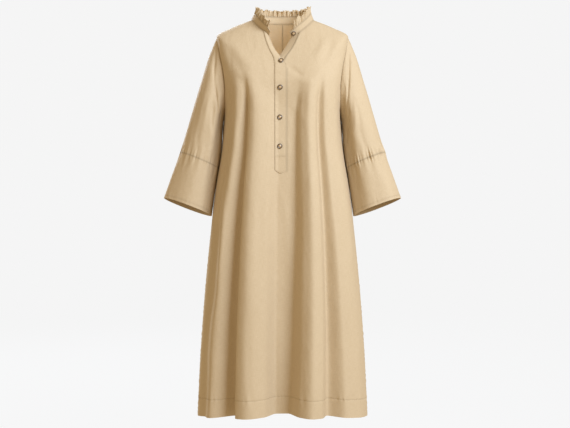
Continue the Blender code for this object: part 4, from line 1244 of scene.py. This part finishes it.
def make_top_strip():
    """The upper strip's shell; its long edges are pressed folds, a little thinner than its middle."""
    rows = placket_rows(PLACKET_END)
    share = np.linspace(0.0, 1.0, PLACKET_WIDE)[None, :]
    inner = top_strip(share, rows[:, None])
    flat_part = ease(0.0, PRESSED_SHARE, share) * ease(1.0, 1 - PRESSED_SHARE, share)
    pressed = PRESSED + (1 - PRESSED) * flat_part
    outer = inner + grid_normals(inner, 1.0) * (DOUBLE_CLOTH * pressed)[..., None]
    # Painted shade along the strip's pressed edges and at its cross stitch
    wide = v_opening("left_edge", rows)[:, None] - v_opening("left_seam", rows)[:, None]
    at_edge = bell(np.minimum(share, 1 - share) * wide, STRIP_EDGE_WIDTH)
    at_cross = bell(rows - PLACKET_OPEN_END + CROSS_STITCH, CROSS_WIDTH)[:, None]
    shade = STRIP_SHADE * np.maximum(at_edge, at_cross)
    make_cloth("cotton_placket_top", "top_placket", (outer, inner), rows, shade)


def make_under_strip():
    """The strip behind, sewn to the other side of the slot, that carries the buttons."""
    rows = placket_rows(PLACKET_OPEN_END)
    rows[-1] -= UNDER_SHORT
    share = np.linspace(0.0, 1.0, PLACKET_WIDE)[None, :]
    seam = v_opening("right_seam", rows)[:, None] + PLACKET_LAP
    edge = v_opening("right_edge", rows)[:, None]
    angles = angle_of(seam + (edge - seam) * share, rows[:, None])
    normal = body_normal(angles, rows[:, None])
    sunk = UNDER_DEPTH + v_opening("right_sunk", rows)[:, None] * share**UNDER_ROLL
    outer = front(angles, rows[:, None]) - normal * sunk[..., None]
    # Painted shade along the strip's edges
    shade = STRIP_SHADE * bell(np.minimum(share, 1 - share) * (seam - edge), STRIP_EDGE_WIDTH)
    make_cloth("cotton_placket_under", "under_placket", (outer, outer - normal * DOUBLE_CLOTH), rows, shade)


make_top_strip()
make_under_strip()


def run_down_strip(share, start, end):
    """A path down or across the upper strip's face for a run of stitches."""
    share, along = np.broadcast_arrays(np.asarray(share, float), np.linspace(start, end, 400))
    normal = body_normal(angle_of(share * 0.0, along), along)
    return top_strip(share, along) + normal * DOUBLE_CLOTH, normal


cross_share = np.linspace(0.05, 0.95, 400)
strip_lines = [
    (EDGE_STITCH, 0.004, PLACKET_END - 0.006),
    (1 - EDGE_STITCH, 0.060, PLACKET_END - 0.006),
    *((cross_share, end - CROSS_STITCH, end - CROSS_STITCH) for end in (PLACKET_OPEN_END, PLACKET_END)),
]
make_stitches("placket_stitches", [run_down_strip(*line) for line in strip_lines])


# Collar
# A doubled stand sewn round the neck, open at the front, with a narrow gathered frill sewn along its
# top. The frill is the same cotton folded double, crowded into uneven waves.

BAND_CLOTH = 0.0020
BAND_HEIGHT = 0.022
BAND_LEFT_END = -25.2
BAND_RIGHT_END = 15.5
FRILL_CLOTH = 0.0010
FRILL_HEIGHT = 0.021
FRILL_WAVES = 27
FRILL_SWING = 0.0042
FRILL_SHORT = 0.010
LEAN_COLUMNS = ("round", "inward", "forward", "up")
COLLAR_LEAN = (
    (-345.0, 0.10, 0.62, 0.60),
    (-315.0, 0.12, 0.30, 0.90),
    (-270.0, 0.36, 0.02, 0.92),
    (-225.0, 0.20, 0.05, 0.98),
    (-180.0, 0.00, 0.10, 1.00),
    (-135.0, 0.20, 0.05, 0.98),
    (-90.0, 0.42, 0.05, 0.90),
    (-50.0, 0.32, 0.50, 0.80),
    (-20.0, 0.10, 0.80, 0.45),
)


def collar_way(angle):
    """The direction in which the collar stands at an angle round the neck."""
    inward, forward, up = (
        read_table(COLLAR_LEAN, LEAN_COLUMNS, name, angle) for name in LEAN_COLUMNS[1:]
    )
    way = np.stack([-inward * np.sign(np.sin(np.radians(angle))), -forward, up], axis=-1)
    return way / np.linalg.norm(way, axis=-1, keepdims=True)


def neck_roll(x):
    """How far the neck seam rolls in at a sideways place, where the collar is sewn to the strips."""
    top = [float(v_opening(name, 0.0)) for name in ("left_seam", "left_edge", "left_sunk")]
    under = [float(v_opening(name, 0.0)) for name in ("right_seam", "right_edge", "right_sunk")]
    left = np.clip((x - top[0]) / (top[1] - top[0]), 0.0, 1.0) ** TOP_ROLL * top[2]
    start = under[0] + PLACKET_LAP
    right = np.clip((x - start) / (under[1] - start), 0.0, 1.0) ** UNDER_ROLL * under[2]
    return np.where(x < 0.0, left, right)


def collar(angle, height):
    """A point of the collar's outer face: the neck seam, moved up the way that the collar stands.

    At the two front ends the seam is moved in as far as the strip below it rolls in.
    """
    seam = body(angle, np.zeros(np.shape(angle)))
    roll = np.where(np.cos(np.radians(angle)) > 0, neck_roll(seam[..., 0]), 0.0)
    seam = seam - body_normal(angle, np.zeros(np.shape(angle))) * roll[..., None]
    return seam + collar_way(angle) * np.asarray(height)[..., None]


COLLAR_STEPS = (0.5, 0.001)


def collar_normal(angle, height):
    """The collar's outward unit normal."""
    return outward(collar, angle, height, COLLAR_STEPS)


def collar_angles(pieces, end_gap):
    """Angles that divide the neck seam evenly, from the right front end round the back to the left one."""
    dense = np.linspace(BAND_RIGHT_END - 360.0, BAND_LEFT_END, 961)
    points = body(dense, np.zeros(dense.shape))
    walked = np.concatenate([[0.0], np.cumsum(np.linalg.norm(np.diff(points, axis=0), axis=1))])
    return np.interp(np.linspace(end_gap, walked[-1] - end_gap, pieces + 1), walked, dense)


BAND_LONG = 240
BAND_HIGH = 9
BAND_SHADE_WIDTH = 0.003
SEAM_TUCK = 0.0008


def make_band():
    """The stand's shell."""
    angles = collar_angles(BAND_LONG, 0.0)[None, :]
    heights = np.linspace(-SEAM_TUCK, BAND_HEIGHT, BAND_HIGH)[:, None]
    angles, heights = np.broadcast_arrays(angles, heights)
    outer = collar(angles, heights)
    faces = outer, outer - collar_normal(angles, heights) * BAND_CLOTH
    # Painted shade along the band's seams at the neck and at the frill
    shade = NECK_SHADE * bell(np.minimum(heights, BAND_HEIGHT - heights), BAND_SHADE_WIDTH)
    make_cloth("cotton_collar_band", "collar_band", faces, -heights[:, 0], shade)


FRILL_LONG = 760
FRILL_HIGH = 15
FRILL_FINE = 0.0016
FRILL_NOD = 0.0036
FRILL_HEM = 0.0012
FRILL_BACK_LOW = 0.12
FRILL_BACK_WIDTH = 60.0
FRILL_HEM_RISE = (0.78, 0.90)
FRILL_SHADE_SHARE = 0.12


def make_frill():
    """The gathered frill: waves that grow from the stitched base, with finer gathers between them.

    The middle sheet is the collar's face, moved sideways by sin(uneven phase) * height share. Its crests
    nod over and its troughs sag, and its two faces part at the top round a rolled hem.
    """
    angles = collar_angles(FRILL_LONG, FRILL_SHORT)
    share = np.linspace(0.0, 1.0, FRILL_HIGH)[:, None]
    phase = np.linspace(0.0, 2 * math.pi * FRILL_WAVES, len(angles))[None, :]
    uneven = 0.85 + 0.35 * np.sin(phase * 0.37 + 1.0) * np.sin(phase * 0.17 + 0.6)
    turn = phase + 0.9 * np.sin(phase * 0.21)
    grown = 0.10 + 0.90 * share
    wave = (np.sin(turn) + 0.22 * np.sin(2 * turn + 0.8)) * uneven * FRILL_SWING * grown
    fine = np.sin(2.6 * phase + 1.4 * np.sin(0.43 * phase)) * FRILL_FINE
    fine = fine * (ease(0.0, 0.15, share) - 0.5 * share)
    nod = FRILL_NOD * share**3 * np.sin(phase * 0.31 + 2.0)
    crest = 1 - 0.09 * share * np.sin(phase * 0.5 + 0.4) - 0.07 * share * np.cos(2 * turn)
    low_back = 1 - FRILL_BACK_LOW * bell(angles + 180.0, FRILL_BACK_WIDTH)[None, :]
    heights = BAND_HEIGHT - SEAM_TUCK + FRILL_HEIGHT * share * crest * low_back
    angles = np.broadcast_to(angles[None, :], heights.shape)
    normal = collar_normal(angles, np.full(heights.shape, BAND_HEIGHT))
    middle = collar(angles, heights) + normal * (wave + fine + nod - BAND_CLOTH / 2)[..., None]
    face = -grid_normals(middle, 1.0)
    half = face * (FRILL_CLOTH + FRILL_HEM * ease(*FRILL_HEM_RISE, share))[..., None] / 2
    faces = middle + half, middle - half
    # Painted shade at the frill's stitched base
    shade = NECK_SHADE * bell(share, FRILL_SHADE_SHARE)
    downs = -heights.mean(axis=1)
    make_cloth("cotton_collar_frill", "collar_frill", faces, downs, shade, sheet=middle)


make_band()
make_frill()


def run_on_collar(height, inside):
    """A path round the collar's outer or inner face for a run of stitches."""
    angles = collar_angles(600, 0.003)
    heights = np.full(angles.shape, height)
    normal = collar_normal(angles, heights)
    if inside:
        return collar(angles, heights) - normal * BAND_CLOTH, -normal
    return collar(angles, heights), normal


stand_lines = [(line, inside) for line in (0.003, BAND_HEIGHT - 0.002) for inside in (False, True)]
make_stitches("collar_stitches", [run_on_collar(*line) for line in stand_lines])


# Buttons
# Round shank buttons of polished brown horn, a dark raised rim round a dome painted pale as a highlight,
# sewn on by a shank behind: four down the placket, and one on the open end of the collar's stand.

BUTTON_RADIUS = 0.0072
BUTTON_HEIGHT = 0.0040
PLACKET_BUTTONS = ((-0.0041, -0.1300), (-0.0066, -0.2080), (-0.0078, -0.2940), (-0.0078, -0.3780))
BUTTON_GAP = 0.0005
BUTTON_OUTLINE = (
    (0.00, 0.00),
    (0.55, 0.00),
    (0.92, 0.20),
    (1.00, 0.45),
    (0.95, 0.72),
    (0.80, 0.80),
    (0.66, 0.66),
    (0.36, 0.90),
    (0.00, 1.00),
)
BUTTON_AROUND = 40
BUTTON_RISE = 28
HORN_RIM = (0.070, 0.036, 0.016)
# Painted highlight: the dome's pale colour
HORN_PAINTED_HIGHLIGHT = (0.520, 0.370, 0.210)
RIM_SHARES = (0.42, 0.70)
CLOUD_SHIFT = 0.30
HORN_ROUGHNESS = (0.12, 0.26)
COLLAR_BUTTON_IN = 5.0


def horn_material():
    """Polished horn: dark at the rim, with a painted highlight that makes the dome pale, and faint cloudy
    bands.
    """
    material, tree, shader = new_material("brown_horn")
    place = tree.nodes.new("ShaderNodeTexCoord")
    cloud = noise(tree, place.outputs["Object"], 260.0, 3.0)
    shift = math_node(tree, "MULTIPLY_ADD", cloud, CLOUD_SHIFT)
    shift.node.inputs[2].default_value = -CLOUD_SHIFT / 2
    share = math_node(tree, "ADD", attribute(tree, "from_middle"), shift)
    ramp = add_node(tree, "ShaderNodeValToRGB", Fac=share)
    for stop, place_of, colour in zip(ramp.color_ramp.elements, RIM_SHARES, (HORN_PAINTED_HIGHLIGHT, HORN_RIM)):
        stop.position = place_of
        stop.color = (*colour, 1.0)
    tree.links.new(ramp.outputs["Color"], shader.inputs["Base Color"])
    tree.links.new(ranged(tree, cloud, *HORN_ROUGHNESS), shader.inputs["Roughness"])
    shader.inputs["Coat Weight"].default_value = 0.6
    shader.inputs["Coat Roughness"].default_value = 0.08
    return material


brown_horn = horn_material()


def make_button(name, node, centre, way):
    """A turned button: its outline, smoothed, carried round the direction that it faces."""
    radii, rises = (np.array([row[k] for row in BUTTON_OUTLINE]) for k in range(2))
    knots = np.concatenate([[0.0], np.cumsum(np.hypot(np.diff(radii), np.diff(rises)))])
    at = np.linspace(0.0, knots[-1], BUTTON_RISE)
    radius = smooth_curve(knots, radii, at)[1:-1, None] * BUTTON_RADIUS
    rise = smooth_curve(knots, rises, at)[1:-1, None] * BUTTON_HEIGHT
    turn = np.arange(BUTTON_AROUND)[None, :] * 2 * math.pi / BUTTON_AROUND
    beside = np.cross(way, (0.0, 0.0, 1.0))
    beside /= np.linalg.norm(beside)
    above = np.cross(beside, way)
    ring = (
        centre
        + (radius * np.cos(turn))[..., None] * beside
        + (radius * np.sin(turn))[..., None] * above
        + (rise * np.ones(turn.shape))[..., None] * way
    )
    rows = len(radius)
    row, col = np.meshgrid(np.arange(rows - 1), np.arange(BUTTON_AROUND), indexing="ij")
    here = (row * BUTTON_AROUND + col).reshape(-1)
    beside_it = (row * BUTTON_AROUND + (col + 1) % BUTTON_AROUND).reshape(-1)
    squares = np.stack([here, here + BUTTON_AROUND, beside_it + BUTTON_AROUND, beside_it], axis=1)
    around = np.arange(BUTTON_AROUND)
    count = rows * BUTTON_AROUND
    last = count - BUTTON_AROUND
    bottom = np.stack([around, (around + 1) % BUTTON_AROUND, np.full(BUTTON_AROUND, count)], axis=1)
    top = [last + (around + 1) % BUTTON_AROUND, last + around, np.full(BUTTON_AROUND, count + 1)]
    top = np.stack(top, axis=1)
    points = np.concatenate([ring.reshape(-1, 3), [centre], [centre + way * BUTTON_HEIGHT]])
    mesh = bpy.data.meshes.new(name)
    mesh.from_pydata(points.tolist(), [], squares.tolist() + bottom.tolist() + top.tolist())
    share = np.concatenate([np.repeat(radius[:, 0] / BUTTON_RADIUS, BUTTON_AROUND), [0.9], [0.0]])
    under = np.repeat(np.arange(rows) < rows // 3, BUTTON_AROUND)
    share[: count][under] = 1.0
    mesh.attributes.new("from_middle", "FLOAT", "POINT").data.foreach_set("value", share.astype(np.float32))
    mesh.shade_smooth()
    mesh.materials.append(brown_horn)
    made = place_object(name, mesh)
    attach(made, "root")
    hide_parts(node)


def along_of(front_z):
    """The length along the body whose ring has this height at the front middle."""
    lengths = np.linspace(0.0, HEM, 481)
    return float(np.interp(-front_z, -read_table(RINGS, RING_COLUMNS, "front_z", lengths), lengths))


for i, (button_x, button_z) in enumerate(PLACKET_BUTTONS):
    button_along = np.array(along_of(button_z))
    button_angle = angle_of(np.array(button_x), button_along)
    button_way = body_normal(button_angle, button_along)
    button_rise = SEAM_GAP + DOUBLE_CLOTH + PLACKET_RISE + BUTTON_GAP
    button_at = body(button_angle, button_along) + button_way * button_rise
    make_button(f"horn_button_{i + 1}", f"button_{i + 1}", button_at, button_way)
collar_angle = np.array(BAND_RIGHT_END - 360.0 + COLLAR_BUTTON_IN)
collar_height = np.array(BAND_HEIGHT / 2)
collar_out = collar_normal(collar_angle, collar_height)
collar_at = collar(collar_angle, collar_height) + collar_out * BUTTON_GAP
make_button("horn_collar_button", "collar_button", collar_at, collar_out)


# Studio
# A plain pale floor that sweeps up into a round backdrop, a large soft key light from the upper right of
# the front, and even pale light from all round.

FLOOR_Z = -1.42
FLOOR_RADIUS = 6.0
SWEEP_RADIUS = 2.0
WALL_TOP = 4.0
STAGE_COLOUR = (0.02, 0.02, 0.02)
STAGE_SEEN = (0.900, 0.902, 0.905)
ROOM_LIGHT = (0.60, 0.472, 0.304)
KEY_AT = (2.30, -2.70, 1.35)
KEY_AIM = (0.0, 0.0, -0.55)
KEY_SIZE = 1.9
KEY_POWER = 164.0
KEY_COLOUR = (0.88, 1.0, 1.18)
BACK_KEY_AT = (-1.60, 3.20, 1.50)
BACK_KEY_POWER = 150.0
GLOW_AT = (0.0, -0.060, -0.330)
GLOW_AIM = (0.0, 0.090, -0.020)
GLOW_SIZE = 0.08
GLOW_POWER = 0.52
GLOW_COLOUR = (1.0, 0.91, 0.76)


def make_stage():
    """The floor and backdrop: a profile of floor, quarter round and wall, carried round the dress."""
    bend = np.linspace(0.0, math.pi / 2, 16)
    sweep = FLOOR_RADIUS + SWEEP_RADIUS * np.sin(bend)
    radius = np.concatenate([[0.001], sweep, [FLOOR_RADIUS + SWEEP_RADIUS]])
    height = np.concatenate([[0.0], SWEEP_RADIUS * (1 - np.cos(bend)), [WALL_TOP]]) + FLOOR_Z
    turn = np.linspace(0.0, 2 * math.pi, 97)[None, :]
    grid = radius[:, None] * np.cos(turn), radius[:, None] * np.sin(turn), height[:, None] + 0.0 * turn
    points = np.stack(grid, axis=-1)
    rows, columns = points.shape[:2]
    row, col = np.meshgrid(np.arange(rows - 1), np.arange(columns - 1), indexing="ij")
    here = (row * columns + col).reshape(-1)
    faces = np.stack([here, here + columns, here + columns + 1, here + 1], axis=1)
    floor = make_mesh("studio_floor", points.reshape(-1, 3), faces)
    material, tree, shader = new_material("pale_floor")
    shader.inputs["Base Color"].default_value = (*STAGE_COLOUR, 1.0)
    shader.inputs["Roughness"].default_value = 0.9
    shader.inputs["Specular IOR Level"].default_value = 0.0
    ray = tree.nodes.new("ShaderNodeLightPath")
    glow = mixed(tree, ray.outputs["Is Camera Ray"], ROOM_LIGHT, STAGE_SEEN)
    tree.links.new(glow, shader.inputs["Emission Color"])
    shader.inputs["Emission Strength"].default_value = 1.0
    floor.data.materials.append(material)


def make_light(name, place, aim, size, power, colour):
    """A soft square light that faces a point."""
    data = bpy.data.lights.new(name, "AREA")
    data.size = size
    data.energy = power
    data.color = colour
    light = place_object(name, data)
    light.location = place
    away = np.array(place) - np.array(aim)
    turn_up = math.atan2(math.hypot(away[0], away[1]), away[2])
    light.rotation_euler = (turn_up, 0.0, math.atan2(away[1], away[0]) + math.pi / 2)
    light.visible_camera = False


make_stage()
make_light("key", KEY_AT, KEY_AIM, KEY_SIZE, KEY_POWER, KEY_COLOUR)
make_light("back_key", BACK_KEY_AT, KEY_AIM, KEY_SIZE, BACK_KEY_POWER, KEY_COLOUR)

# Thin cotton lets light through, so a small soft light inside the neck lifts the inside of the back
make_light("neck_glow", GLOW_AT, GLOW_AIM, GLOW_SIZE, GLOW_POWER, GLOW_COLOUR)

world = bpy.data.worlds.new("studio")
world.use_nodes = True
world.node_tree.nodes["Background"].inputs["Color"].default_value = (*ROOM_LIGHT, 1.0)
bpy.context.scene.world = world
bpy.context.scene.view_settings.view_transform = "Standard"
